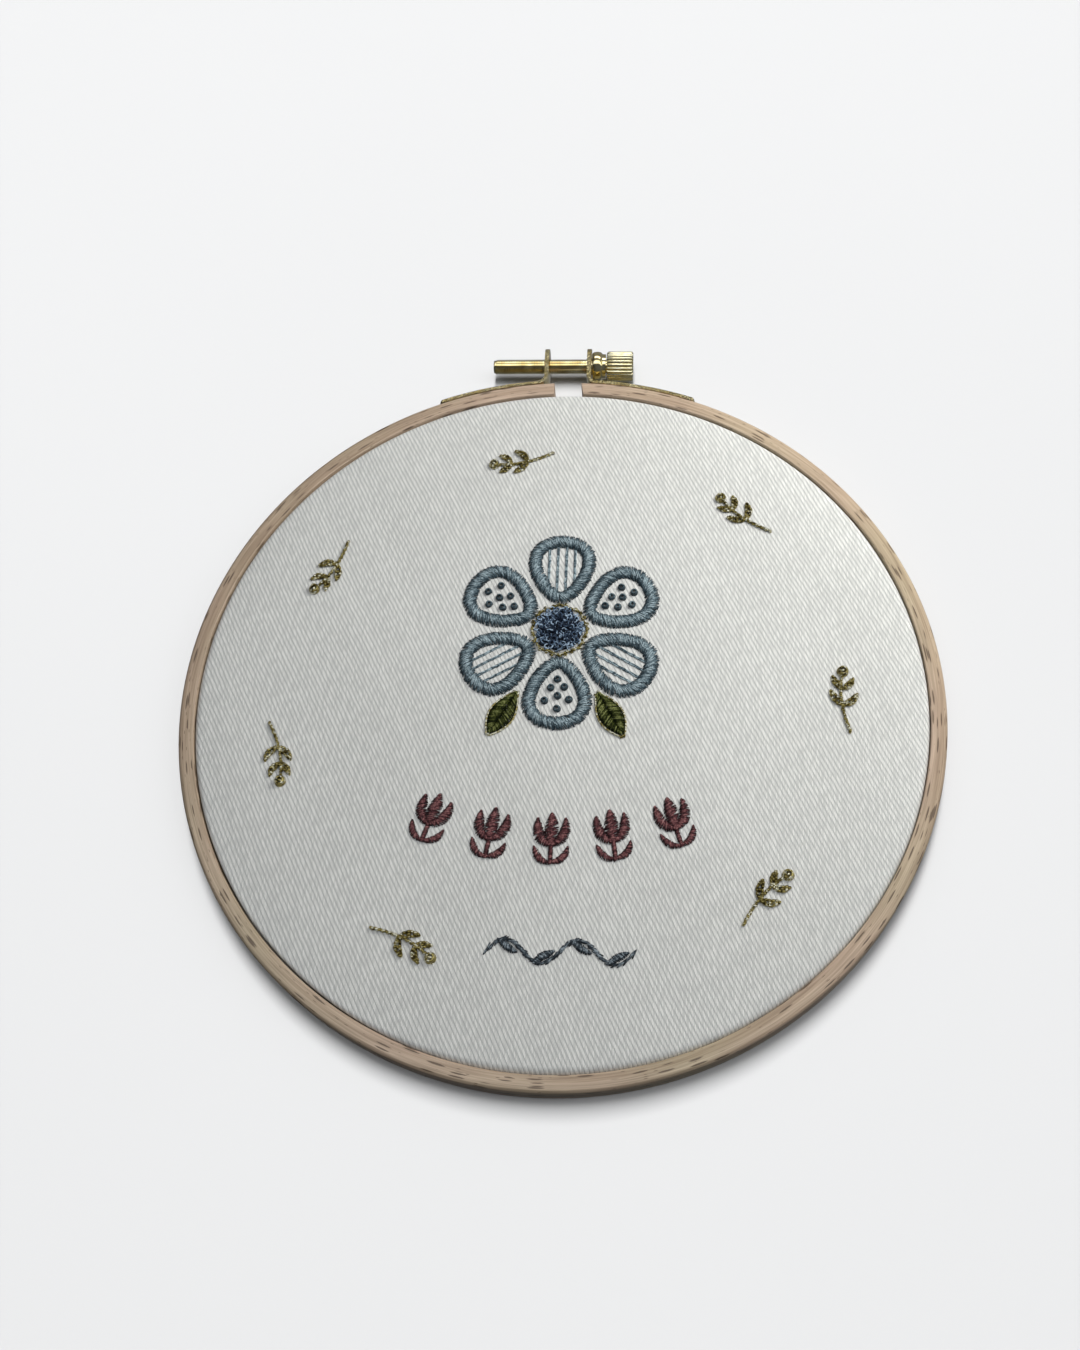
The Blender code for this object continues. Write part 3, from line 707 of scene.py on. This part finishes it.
def extrude_cap(bm, cap, along, scale=1.0, keep=False):
    """Extrudes an end face along X about the origin's axis and scales it. Returns the new end face."""
    made = bmesh.ops.extrude_face_region(bm, geom=[cap])["geom"]
    for vert in of_kind(made, BMVert):
        vert.co.x += along
        vert.co.yz *= scale
    if not keep:
        bmesh.ops.delete(bm, geom=[cap], context="FACES_ONLY")
    return of_kind(made, BMFace)[0]


end_radius = knob_radius - KNOB_ROUNDING
bm = bmesh.new()
cap = disc(bm, RIB_POINTS * KNOB_RIBS, end_radius, Matrix.Translation((KNOB_START, 0.0, 0.0)) @ to_x)
rim = extrude_cap(bm, cap, KNOB_ROUNDING, knob_radius / end_radius, keep=True)
for vert in rim.verts:
    angle = math.atan2(vert.co.z, vert.co.y)
    groove = RIB_DEPTH * (1.0 - abs(math.cos(KNOB_RIBS * angle / 2)) ** 0.8)
    vert.co.yz = vert.co.yz.normalized() * (knob_radius - groove)
rim = extrude_cap(bm, rim, knob_length - 2.0 * KNOB_ROUNDING)
rim = extrude_cap(bm, rim, KNOB_ROUNDING, end_radius / knob_radius)
rim = extrude_cap(bm, rim, 0.0, 0.72)
extrude_cap(bm, rim, -KNOB_DISH, 0.9)
bmesh.ops.translate(bm, vec=screw_axis, verts=bm.verts)
finish_piece("brass_knob", bm, knob_brass_painted_pale, "brass", body="screw")

# %% [markdown]
# Between knob and lug sits a turned collar, like a small barrel with a neck. A few points give its
# section, and a full spin turns it.

# %% Collar
collar_low, collar_high = map(Vector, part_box("screw_collar"))
COLLAR_BORE = 2.2 * MM
BARREL_START = ((0.0, 3.55), (0.05, 3.80), (0.14, 3.96), (0.28, 4.04))
BARREL_END = ((0.44, 4.05), (0.58, 3.96), (0.67, 3.78), (0.72, 3.5))
NECK = ((0.78, 3.38), (0.96, 3.38), (1.0, 3.30))
length = collar_high.x - collar_low.x
start_x = collar_low.x - hoop_centre.x
points = [(start_x + share * length, radius * MM) for share, radius in BARREL_START + BARREL_END + NECK]
points += [(points[-1][0], COLLAR_BORE), (points[0][0], COLLAR_BORE)]
bm = bmesh.new()
verts = [bm.verts.new((x, 0.0, radius)) for x, radius in points]
edges = [bm.edges.new(pair) for pair in zip(verts, verts[1:] + verts[:1])]
spin_about(bm, verts + edges, ORIGIN, X_AXIS, math.tau, 64, merge=True)
bmesh.ops.translate(bm, vec=screw_axis, verts=bm.verts)
finish_piece("brass_collar", bm, turned_brass, "brass", ["screw_collar"], body="screw_feed")

# %% [markdown]
# ## Threads
# Stitches could be painted on, but satin stitch lives from its relief: each thread rises out of the
# cloth, bends over its padding and dives back in. So a stitch is modelled once, as an arched thread of
# unit length, and laid hundreds of times with its own length, turn and shade. The attribute tint keeps
# each thread's own shade, and height says how high the thread stands at each point. The colour is
# darkened where the height falls: painted shade where a thread dives between its neighbours.

# %% One stitch
THREAD_SIDES = 6
ARCH_FULLNESS = 2.6


def make_stitch(name, width, thickness, rise, cuts=5, sides=THREAD_SIDES):
    """An arched thread one unit long along X. Width, thickness and rise are true sizes."""
    bm = bmesh.new()
    cylinder(bm, sides, 0.5, 1.0, to_x)
    lengthwise = [e for e in bm.edges if abs(e.verts[0].co.x - e.verts[1].co.x) > 0.5]
    bmesh.ops.subdivide_edges(bm, edges=lengthwise, cuts=cuts, use_grid_fill=True)
    arches = []
    for vert in bm.verts:
        vert.co.x = 0.5 * math.sin(math.pi * vert.co.x)
        # The arch is kept as the height, which the cotton finish darkens towards the ends: painted shade.
        arch = 1.0 - abs(2.0 * vert.co.x) ** ARCH_FULLNESS
        slim = 0.5 + 0.5 * arch**0.5
        vert.co.y *= width * slim
        vert.co.z = vert.co.z * thickness * slim + rise * arch**0.75
        arches.append(arch)
    return as_template(name, bm, arches)


def as_template(name, bm, heights):
    """A mesh to copy. Its height attribute is 0 where the thread dives into the cloth and 1 at its top."""
    bmesh.ops.recalc_face_normals(bm, faces=bm.faces)
    mesh = bpy.data.meshes.new(name)
    bm.to_mesh(mesh)
    bm.free()
    mesh.attributes.new("tint", "FLOAT", "POINT")
    mesh.attributes.new("height", "FLOAT", "POINT").data.foreach_set("value", heights)
    return mesh


def lay(bm, stitch, centre, angle, length, tint, lift=0.0, size=1.0, tilt=0.0):
    """Adds a copy of a stitch at a place in the cloth's plane, measured from the hoop's centre."""
    ground = hoop_centre + Vector((*centre, cloth_top + lift))
    turned = Matrix.Rotation(angle, 4, "Z") @ Matrix.Rotation(tilt, 4, "Y")
    scaled = Matrix.Diagonal((length, size, size, 1.0))
    copy = stitch.copy()
    copy.transform(Matrix.Translation(ground) @ turned @ scaled)
    copy.attributes["tint"].data.foreach_set("value", [tint] * len(copy.vertices))
    bm.from_mesh(copy)
    bpy.data.meshes.remove(copy)


def bowed(points, steps):
    """A quadratic Bezier curve in metres, through three points given in millimetres."""
    start, middle, end = (Vector(p) * MM for p in points)
    handle = 2.0 * middle - (start + end) / 2.0
    curve = []
    for i in range(steps + 1):
        t = i / steps
        curve.append(start * (1 - t) ** 2 + handle * 2 * t * (1 - t) + end * t**2)
    return curve


def walk(line, spacing, closed=False):
    """Evenly spaced places along a line: (place, direction, share of the way)."""
    ends = line[1:] + line[:1] if closed else line[1:]
    legs = list(zip(line, ends))
    total = sum((b - a).length for a, b in legs)
    count = max(2, round(total / spacing))
    gap = total / count if closed else total / (count - 1)
    places = []
    done = 0.0
    for a, b in legs:
        leg = (b - a).length
        while len(places) < count and len(places) * gap <= done + leg + 1e-9:
            share = (len(places) * gap - done) / leg
            places.append((a.lerp(b, share), (b - a).normalized(), len(places) * gap / total))
        done += leg
    return places


stitches = {
    "band": make_stitch("band stitch", 0.27 * MM, 0.27 * MM, 0.80 * MM, sides=5),
    "flat": make_stitch("flat stitch", 0.27 * MM, 0.27 * MM, 0.50 * MM, cuts=4, sides=5),
    "line": make_stitch("line stitch", 0.42 * MM, 0.40 * MM, 0.22 * MM, cuts=4),
    "gold": make_stitch("gold stitch", 0.42 * MM, 0.40 * MM, 0.26 * MM, cuts=4),
}
print("faces in a band stitch:", len(stitches["band"].polygons))

# %% [markdown]
# ## Thread materials
# Stranded cotton has a soft silky gloss, and every thread catches the light a little differently. The
# tint picks a colour from a ramp of three shades, and fine noise stands for the fibres. Metallic thread
# is foil wound round a core. Its colour is painted in random cells, mostly dark with some pale gold:
# painted dark reflections and painted glints that stand for facets turned from or to the light.

# %% Thread finishes
def cotton_thread(name, dark, middle, light, sheen=0.15):
    looks = {"Sheen_Weight": sheen, "Sheen_Roughness": 0.35, "Specular_IOR_Level": 0.12 + sheen}
    material, tree, shader = new_material(name + " cotton", 0.5, **looks)
    place = object_place(tree)
    tint = node(tree, "Attribute", attribute_name="tint").outputs["Fac"]
    height = node(tree, "Attribute", attribute_name="height").outputs["Fac"]
    fibre = noise(place, 5200.0, 3.0)
    mottle = noise(place, 2300.0)
    shade = swung(tint, fibre, 0.47, 1.4)
    shade = swung(shade, mottle, 0.5, 1.7)
    # Darker where the height falls: painted shade where a thread dives between neighbours and at a knot's
    # foot.
    shade = swung(shade, height, 1.0, 0.95)
    colour = ramp(shade, ((0.0, dark), (0.5, middle), (1.0, light)))
    dress(shader, colour, fibre, 0.5, 0.05 * MM)
    return material


def foil_thread(name, dark, middle, light):
    material, tree, shader = new_material(name, 0.32, 1.0)
    place = object_place(tree)
    # Random cells painted dark or pale gold: painted dark reflections and painted glints on the foil.
    glint_cells = node(tree, "TexVoronoi", {"Vector": place, "Scale": 1900.0})
    chance = node(tree, "SeparateColor", {"Color": glint_cells.outputs["Color"]}).outputs["Red"]
    tint = node(tree, "Attribute", attribute_name="tint").outputs["Fac"]
    shade = swung(chance, tint, 0.5, 0.35)
    colour = ramp(shade, ((0.0, dark), (0.55, middle), (0.76, middle), (0.84, light)))
    dress(shader, colour, chance, 0.8, 0.06 * MM)
    return material


blue = cotton_thread("slate-blue", (0.026, 0.045, 0.058), (0.125, 0.18, 0.21), (0.42, 0.52, 0.56))
deep_blue = cotton_thread("deep-blue", (0.003, 0.008, 0.022), (0.065, 0.11, 0.18), (0.38, 0.50, 0.64))
green = cotton_thread("dark-green", (0.005, 0.008, 0.001), (0.052, 0.062, 0.012), (0.25, 0.27, 0.1), 0.0)
red = cotton_thread("brick-red", (0.020, 0.005, 0.007), (0.115, 0.036, 0.040), (0.37, 0.175, 0.17))
teal = cotton_thread("grey-teal", (0.010, 0.015, 0.020), (0.060, 0.078, 0.095), (0.34, 0.40, 0.44))
gold = foil_thread("gold foil thread", (0.09, 0.07, 0.02), (0.46, 0.38, 0.14), (1.0, 0.97, 0.76))
print("threads made")

# %% [markdown]
# ## Petals in satin stitch
# Each petal is a loop of satin stitch as wide as one long stitch. Threads are laid aslant across its
# middle line, close enough to touch, each a little off in length and direction, which frays the edges as
# a hand does. A second sparse layer crosses the first, its threads paler: painted highlights on the satin.
# Seeded random numbers keep every run the same.

# %% Petal loops
flower_low, flower_high = map(Vector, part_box("bloom_edge"))
flower = ((flower_low + flower_high) / 2 - hoop_centre).xy
PETALS = 6
PETAL_MIDDLE = 17.3 * MM
PETAL_HALF_LENGTH = 8.1 * MM
PETAL_HALF_WIDTH = 6.6 * MM
PETAL_EGG = 0.32
BAND_WIDTH = 3.6 * MM
SATIN_SLANT = 0.50


def petal_point(angle):
    across = PETAL_HALF_WIDTH * math.sin(angle) * (1.0 + PETAL_EGG * math.cos(angle))
    return Vector((PETAL_MIDDLE + PETAL_HALF_LENGTH * math.cos(angle), across))


def on_petal(point, index):
    """A point of the petal that lies along +X, moved to its place round the flower."""
    return flower + Matrix.Rotation(math.pi / 2 + math.tau * index / PETALS, 2) @ point


def satin(bm, rng, line, width_at, stitch, spacing, slant, lift=0.0, wobble=0.10, tints=(0.1, 0.9)):
    """Lays threads across a line, closed if it has a petal's many points. width_at gives their width."""
    for place, along, share in walk(line, spacing, closed=len(line) > 40):
        turn = slant + rng.gauss(0.0, wobble)
        angle = heading(along) + math.pi / 2 + turn
        length = width_at(share) * rng.uniform(0.90, 1.10) / math.cos(turn)
        lay(bm, stitch, place, angle, length, rng.uniform(*tints), lift, rng.uniform(0.9, 1.15))


loop = [petal_point(math.tau * i / 48) for i in range(48)]
petal_meshes = []
for index in range(PETALS):
    rng = Random(index)
    bm = bmesh.new()
    line = [on_petal(point, index) for point in loop]
    satin(bm, rng, line, lambda share: BAND_WIDTH, stitches["band"], 0.185 * MM, SATIN_SLANT)
    # The top layer's higher tints are painted highlights.
    over = {"slant": SATIN_SLANT, "lift": 0.1 * MM, "wobble": 0.25, "tints": (0.6, 1.2)}
    satin(bm, rng, line, lambda share: 0.65 * BAND_WIDTH, stitches["band"], 0.55 * MM, **over)
    petal_meshes.append(bm)
print("petals laid:", len(petal_meshes))

# %% [markdown]
# Three petals are filled with thin straight lines and three with French knots, as a sampler would. A knot
# is thread wound round the needle, so it is a spin that climbs a little as it turns.

# %% Knot shape
def make_knot(name, across, thread, turns=1.6, steps_a_turn=12):
    """A coil of thread that lies on the cloth, with a dimple in its middle."""
    bm = bmesh.new()
    reach = (across - thread) / 2
    upright = Matrix.Rotation(math.pi / 2, 4, "X")
    face = disc(bm, THREAD_SIDES, thread / 2, Matrix.Translation((reach, 0.0, 0.1 * thread)) @ upright)
    steps = round(turns * steps_a_turn)
    climb = (0.0, 0.0, 0.75 * thread / steps_a_turn)
    spin_about(bm, [face, *face.edges, *face.verts], ORIGIN, Z_AXIS, math.tau * turns, steps, climb)
    top = max(v.co.z for v in bm.verts)
    heights = []
    for vert in bm.verts:
        # The height also darkens the knot's lower turns in the cotton finish: painted shade.
        height = max(0.0, vert.co.z / top)
        vert.co.xy *= 1.0 - 0.38 * height
        heights.append(height)
    return as_template(name, bm, heights)


knot = make_knot("french knot", 2.25 * MM, 0.72 * MM)
print("faces in a knot:", len(knot.polygons))

# %% Petal fillings
STRIPE_PLACES = (-3.3 * MM, -1.1 * MM, 1.1 * MM, 3.3 * MM)
KNOT_PLACES = ((-3.9, 0.1), (-1.5, 1.8), (-1.4, -1.7), (0.8, 0.1), (2.0, 3.0), (2.1, -2.9), (4.2, 0.1))
for index, bm in enumerate(petal_meshes):
    rng = Random(20 + index)
    if index % 2 == 0:
        for across in STRIPE_PLACES:
            crossing = [p for p in loop if (p.y - across) * math.copysign(1.0, across) > 0.0]
            ends = (min(p.x for p in crossing), max(p.x for p in crossing))
            for strand in (-0.17 * MM, 0.17 * MM):
                line = [on_petal(Vector((x, across + strand)), index) for x in ends]
                for place, along, _ in walk(line, 1.5 * MM):
                    angle = heading(along) + rng.gauss(0.0, 0.09)
                    lay(bm, stitches["line"], place, angle, 2.5 * MM, rng.uniform(0.3, 1.1), 0.0, 0.8)
    else:
        for x, y in KNOT_PLACES:
            spot = Vector((x + rng.gauss(0.0, 0.12), y + rng.gauss(0.0, 0.12))) * MM
            place = on_petal(spot + Vector((PETAL_MIDDLE, 0.0)), index)
            lay(bm, knot, place, rng.uniform(0.0, math.tau), 1.0, rng.uniform(0.2, 0.5))
    finish_piece(f"satin_petal_{index + 1}", bm, blue, "thread_blue", [f"petal_{index + 1}"])

# %% [markdown]
# ## The flower's middle
# The middle is packed with knots and, over them, loose curls of deep blue thread, highest and darkest in
# the centre. Coils set by the golden angle fill a disc evenly without rows, and a low cushion closes the
# gaps between them. The cushion carries no height, so the cotton finish gives it its darkest colour:
# painted shade in the gaps between the coils.

# %% Knotted middle
BLOOM_RADIUS = 6.4 * MM
GOLDEN_ANGLE = math.radians(137.508)
bm = bmesh.new()
rng = Random(7)
# No tint and no height: the cushion takes the darkest colour, painted shade between the knots.
cushion = bmesh.ops.create_uvsphere(bm, u_segments=32, v_segments=12, radius=1.0)["verts"]
bmesh.ops.scale(bm, vec=(BLOOM_RADIUS - 0.7 * MM, BLOOM_RADIUS - 0.7 * MM, 0.9 * MM), verts=cushion)
bmesh.ops.translate(bm, vec=hoop_centre + Vector((*flower, cloth_top)), verts=cushion)
for vert in cushion:
    vert.co.z = max(vert.co.z, cloth_top - 0.1 * MM)


def strew(count, reach, shape, base, tints, tilt):
    """Sets copies of a coil over the dome, from the middle outwards, and paler towards the rim."""
    for i in range(count):
        out = (i + 0.5) / count
        angle = GOLDEN_ANGLE * i + rng.gauss(0.0, 0.15)
        place = flower + toward(angle) * reach * math.sqrt(out)
        lift = base + 0.85 * MM * math.sqrt(1.0 - out) + rng.uniform(-0.1, 0.1) * MM
        size = rng.uniform(0.85, 1.15)
        turn = rng.uniform(0.0, math.tau)
        tint = rng.uniform(*tints) + 0.7 * (out - 0.45)
        lay(bm, shape, place, turn, size, tint, lift, size, rng.gauss(0.0, tilt))


strew(44, 5.5 * MM, make_knot("low knot", 2.1 * MM, 0.60 * MM, turns=1.3), 0.0, (0.0, 0.45), 0.2)
strew(125, 6.15 * MM, make_knot("curl", 1.7 * MM, 0.36 * MM, turns=0.7), 0.35 * MM, (0.5, 1.4), 0.5)
finish_piece("knotted_middle", bm, deep_blue, "thread_deep_blue", ["bloom"])

# %% [markdown]
# ## Gold outlines
# Metallic thread is couched: it lies on the cloth and tiny stitches hold it down, so it looks like a row
# of short beads. Short stitches laid end to end give that look. Round the middle the thread also makes a
# row of small loops.

# %% Gold round the middle
def bead_line(bm, rng, line, length, spacing, closed, size, splay, tints=(0.0, 1.0)):
    """Short gold stitches one after another along a line, turned a little left and right in turn."""
    for i, (place, along, _) in enumerate(walk(line, spacing, closed)):
        angle = heading(along) + splay * (1 if i % 2 else -1) + rng.gauss(0.0, 0.05)
        # A higher tint paints more of the foil pale: more painted glints.
        tint = rng.uniform(*tints)
        lay(bm, stitches["gold"], place, angle, length, tint, 0.05 * MM, size * rng.uniform(0.92, 1.08))


SCALLOPS = 8
SCALLOP_DEPTH = 0.25 * MM
EDGE_RADIUS = 6.7 * MM
scalloped = []
for i in range(96):
    angle = math.tau * i / 96
    reach = EDGE_RADIUS + SCALLOP_DEPTH * math.cos(SCALLOPS * angle)
    scalloped.append(flower + toward(angle) * reach)
bm = bmesh.new()
rng = Random(3)
bead_line(bm, rng, scalloped, 1.1 * MM, 0.48 * MM, True, 1.5, 0.40)
picot = make_knot("picot", 1.2 * MM, 0.45 * MM, turns=1.0)
PICOTS = 24
for i in range(PICOTS):
    angle = math.tau * (i + rng.uniform(-0.3, 0.3)) / PICOTS
    place = flower + toward(angle) * (EDGE_RADIUS + rng.uniform(0.1, 0.5) * MM)
    lay(bm, picot, place, angle, 1.0, rng.random(), 0.05 * MM)
finish_piece("gold_edge", bm, gold, "thread_gold", ["bloom_edge"])

# %% [markdown]
# ## Leaves
# The leaves are filled in fishbone stitch: threads run from the midrib forwards to the edge, on both
# sides in turn. Their outline is one gold thread, couched along the edge.

# %% Leaves
LEAF_START = 20.0 * MM
LEAF_END = 33.0 * MM
LEAF_HALF_WIDTH = 3.0 * MM
STITCHES_A_SIDE = 56
LEAF_ANGLES = {"left": math.radians(240.0), "right": math.radians(300.0)}


def midrib(share):
    """How far along the leaf's axis a share of its length is."""
    return LEAF_START + (LEAF_END - LEAF_START) * share


def leaf_edge(share):
    """Half the leaf's width at a share of its length."""
    return LEAF_HALF_WIDTH * math.sin(math.pi * (0.03 + 0.94 * share**1.1)) ** 0.9


for side, turn_to in LEAF_ANGLES.items():
    rng = Random(side)
    facing = Matrix.Rotation(turn_to, 2)
    bm = bmesh.new()
    for i in range(STITCHES_A_SIDE):
        share = i / (STITCHES_A_SIDE - 1)
        for up in (1.0, -1.0):
            root = Vector((midrib(max(0.0, share - 0.12)), -0.15 * up * MM))
            edge = Vector((midrib(share), up * leaf_edge(share)))
            span = facing @ (edge - root)
            middle = flower + facing @ ((edge + root) / 2)
            angle = heading(span) + rng.gauss(0.0, 0.05)
            length = span.length * rng.uniform(0.98, 1.06)
            tint = rng.random()
            lay(bm, stitches["flat"], middle, angle, length, tint, 0.12 * MM, rng.uniform(0.95, 1.2))
    shares = [i / (STITCHES_A_SIDE - 1) for i in range(STITCHES_A_SIDE)]
    outline = []
    for up, way in ((1.0, shares), (-1.0, shares[::-1])):
        for share in way:
            point = Vector((midrib(share), up * (leaf_edge(share) + 0.12 * MM)))
            outline.append(flower + facing @ point)
    finish_piece("fishbone_leaf_" + side, bm, green, "thread_green", ["leaf_" + side])
    bm = bmesh.new()
    # High tints give the leaf outline more painted glints.
    bead_line(bm, rng, outline, 1.6 * MM, 0.7 * MM, True, 1.15, 0.08, (0.9, 1.7))
    finish_piece("gold_leaf_edge_" + side, bm, gold, "thread_gold")

# %% [markdown]
# ## Tulips
# Five small tulips stand in a shallow arc. Each stroke of a tulip is filled with satin stitch across it,
# and all but the stem narrow to their ends. The strokes are drawn once and placed five times.

# %% Tulips
TULIP_STROKES = (  # half the width and three points, in millimetres, the stem first
    (0.60, ((0.0, -6.2), (0.0, -3.6), (0.0, -0.4))),
    (0.95, ((0.0, -5.8), (-2.6, -4.8), (-4.0, -2.0))),
    (0.95, ((0.0, -5.8), (2.6, -4.8), (4.0, -2.0))),
    (1.35, ((0.0, -1.6), (-2.7, 0.6), (-3.3, 5.0))),
    (1.35, ((0.0, -1.6), (2.7, 0.6), (3.3, 5.0))),
    (1.65, ((0.0, -2.0), (0.0, 2.0), (0.0, 6.2))),
)
TULIPS = 5
TULIP_SPACING = 14.5 * MM
TULIP_ROW_Y = -36.0 * MM
TULIP_ROW_SAG = 0.0055 / MM


def stroke_width(half_width, narrows=True):
    """The full width of a stroke as a function of the share of its length."""

    def width(share):
        narrowing = math.sin(math.pi * (0.06 + 0.88 * share)) ** 0.8 if narrows else 1.0
        return 2.0 * half_width * MM * narrowing

    return width


for number in range(TULIPS):
    rng = Random(40 + number)
    x = TULIP_SPACING * (number - (TULIPS - 1) / 2)
    facing = Matrix.Rotation(math.atan(2.0 * TULIP_ROW_SAG * x), 2)
    foot = Vector((x, TULIP_ROW_Y + TULIP_ROW_SAG * x * x))
    bm = bmesh.new()
    for level, (half_width, points) in enumerate(TULIP_STROKES):
        line = [foot + facing @ point for point in bowed(points, 12)]
        width = stroke_width(half_width, narrows=level > 0)
        satin(bm, rng, line, width, stitches["flat"], 0.20 * MM, 0.35, 0.03 * level * MM, 0.14)
    finish_piece(f"satin_tulip_{number + 1}", bm, red, "thread_red", [f"tulip_{number + 1}"])

# %% [markdown]
# ## Vine
# The vine is stem stitch: each stitch starts a little way along the one before and leans across the line,
# which twists the row like a rope. Four leaves fill the bays of its wave.

# %% Vine
VINE_CENTRE = Vector((3.0, -63.0)) * MM
VINE_HALF_LENGTH = 17.0 * MM
VINE_WAVE = 2.7 * MM
VINE_WAVES = 2
wave = math.tau * VINE_WAVES / (2.0 * VINE_HALF_LENGTH)
stem = []
for i in range(65):
    x = VINE_HALF_LENGTH * (i / 32 - 1.0)
    stem.append(VINE_CENTRE + Vector((x, VINE_WAVE * math.sin(wave * x))))
rng = Random(60)
bm = bmesh.new()
for place, along, _ in walk(stem, 0.42 * MM):
    angle = heading(along) + 0.30 + rng.gauss(0.0, 0.08)
    aside = Vector((-along.y, along.x)) * rng.uniform(-0.22, 0.22) * MM
    lay(bm, stitches["line"], place + aside, angle, 2.4 * MM, rng.uniform(-0.1, 1.0), 0.08 * MM, 0.95)
bays = 2 * VINE_WAVES
for i in range(bays):
    x = VINE_HALF_LENGTH * ((2.0 * i + 1.0) / bays - 1.0) / MM
    side = math.copysign(1.0, math.sin(wave * x * MM))
    root = side * VINE_WAVE / MM
    points = ((x - 1.6, root), (x + 0.6, root - side * 1.7), (x + 3.0, root - side * 2.9))
    line = [VINE_CENTRE + point for point in bowed(points, 12)]
    satin(bm, rng, line, stroke_width(1.0), stitches["flat"], 0.21 * MM, 0.45)
finish_piece("stem_stitch_vine", bm, teal, "thread_teal", ["vine"])

# %% [markdown]
# ## Gold sprigs
# Seven sprigs ring the picture, each with a stem of twisted foil thread, four leaves that are small
# loops, and a coiled bud. The loops are lazy daisies: one thread goes out along one side and back along
# the other.

# %% Sprigs
SPRIG_RADIUS = 70.0 * MM
SPRIG_ANGLES = (1.0, 49.0, 100.0, 149.0, 193.0, 242.0, 316.0)
SPRIG_STEM = ((-8.6, -0.9), (-0.5, 0.7), (6.6, 0.0))
SPRIG_LEAVES = (  # half the width and three points, in millimetres
    (1.05, ((-1.8, 0.2), (-0.2, 2.1), (1.9, 3.0))),
    (1.05, ((-1.6, 0.2), (-0.9, -1.7), (0.9, -3.0))),
    (0.95, ((2.6, 0.2), (3.9, 1.6), (5.6, 2.3))),
    (0.95, ((2.8, 0.2), (3.4, -1.3), (5.0, -2.3))),
)
SPRIG_BUD = Vector((7.1, -0.1)) * MM
LOOP_STEPS = 10
LOOP_SPREAD = 0.29  # share of the leaf's width from its middle line to the thread
bud_coil = make_knot("bud coil", 3.2 * MM, 0.8 * MM, turns=2.1, steps_a_turn=14)


def loop_outline(half_width, points):
    """The edge of a leaf: out along one side of its middle line and back along the other."""
    line = bowed(points, LOOP_STEPS)
    width = stroke_width(half_width)
    sides = []
    for up in (1.0, -1.0):
        side = []
        for i, point in enumerate(line):
            before, after = line[max(0, i - 1)], line[min(LOOP_STEPS, i + 1)]
            along = (after - before).normalized()
            side.append(point + Vector((-along.y, along.x)) * up * LOOP_SPREAD * width(i / LOOP_STEPS))
        sides.append(side)
    return sides[0] + sides[1][::-1]


for number, degrees in enumerate(SPRIG_ANGLES):
    rng = Random(80 + number)
    around = math.radians(degrees)
    facing = Matrix.Rotation(around + math.pi / 2, 2)
    root = toward(around) * SPRIG_RADIUS
    bm = bmesh.new()
    line = [root + facing @ point for point in bowed(SPRIG_STEM, 16)]
    bead_line(bm, rng, line, 1.3 * MM, 0.6 * MM, False, 1.75, 0.36)
    for half_width, points in SPRIG_LEAVES:
        outline = [root + facing @ point for point in loop_outline(half_width, points)]
        bead_line(bm, rng, outline, 1.15 * MM, 0.85 * MM, True, 1.75, 0.15)
        middle = [root + facing @ point for point in bowed(points, 6)]
        bead_line(bm, rng, middle[1:-1], 1.2 * MM, 0.9 * MM, False, 1.5, 0.1)
    bud = root + facing @ SPRIG_BUD
    lay(bm, bud_coil, bud, rng.uniform(0.0, math.tau), 1.0, rng.random())
    # A stitch of the highest tint on the bud's top: painted glint.
    lay(bm, stitches["gold"], bud, rng.uniform(0.0, math.pi), 1.6 * MM, 1.0, 0.5 * MM, 1.8)
    finish_piece(f"gold_sprig_{number + 1}", bm, gold, "thread_gold", [f"sprig_{number + 1}"])
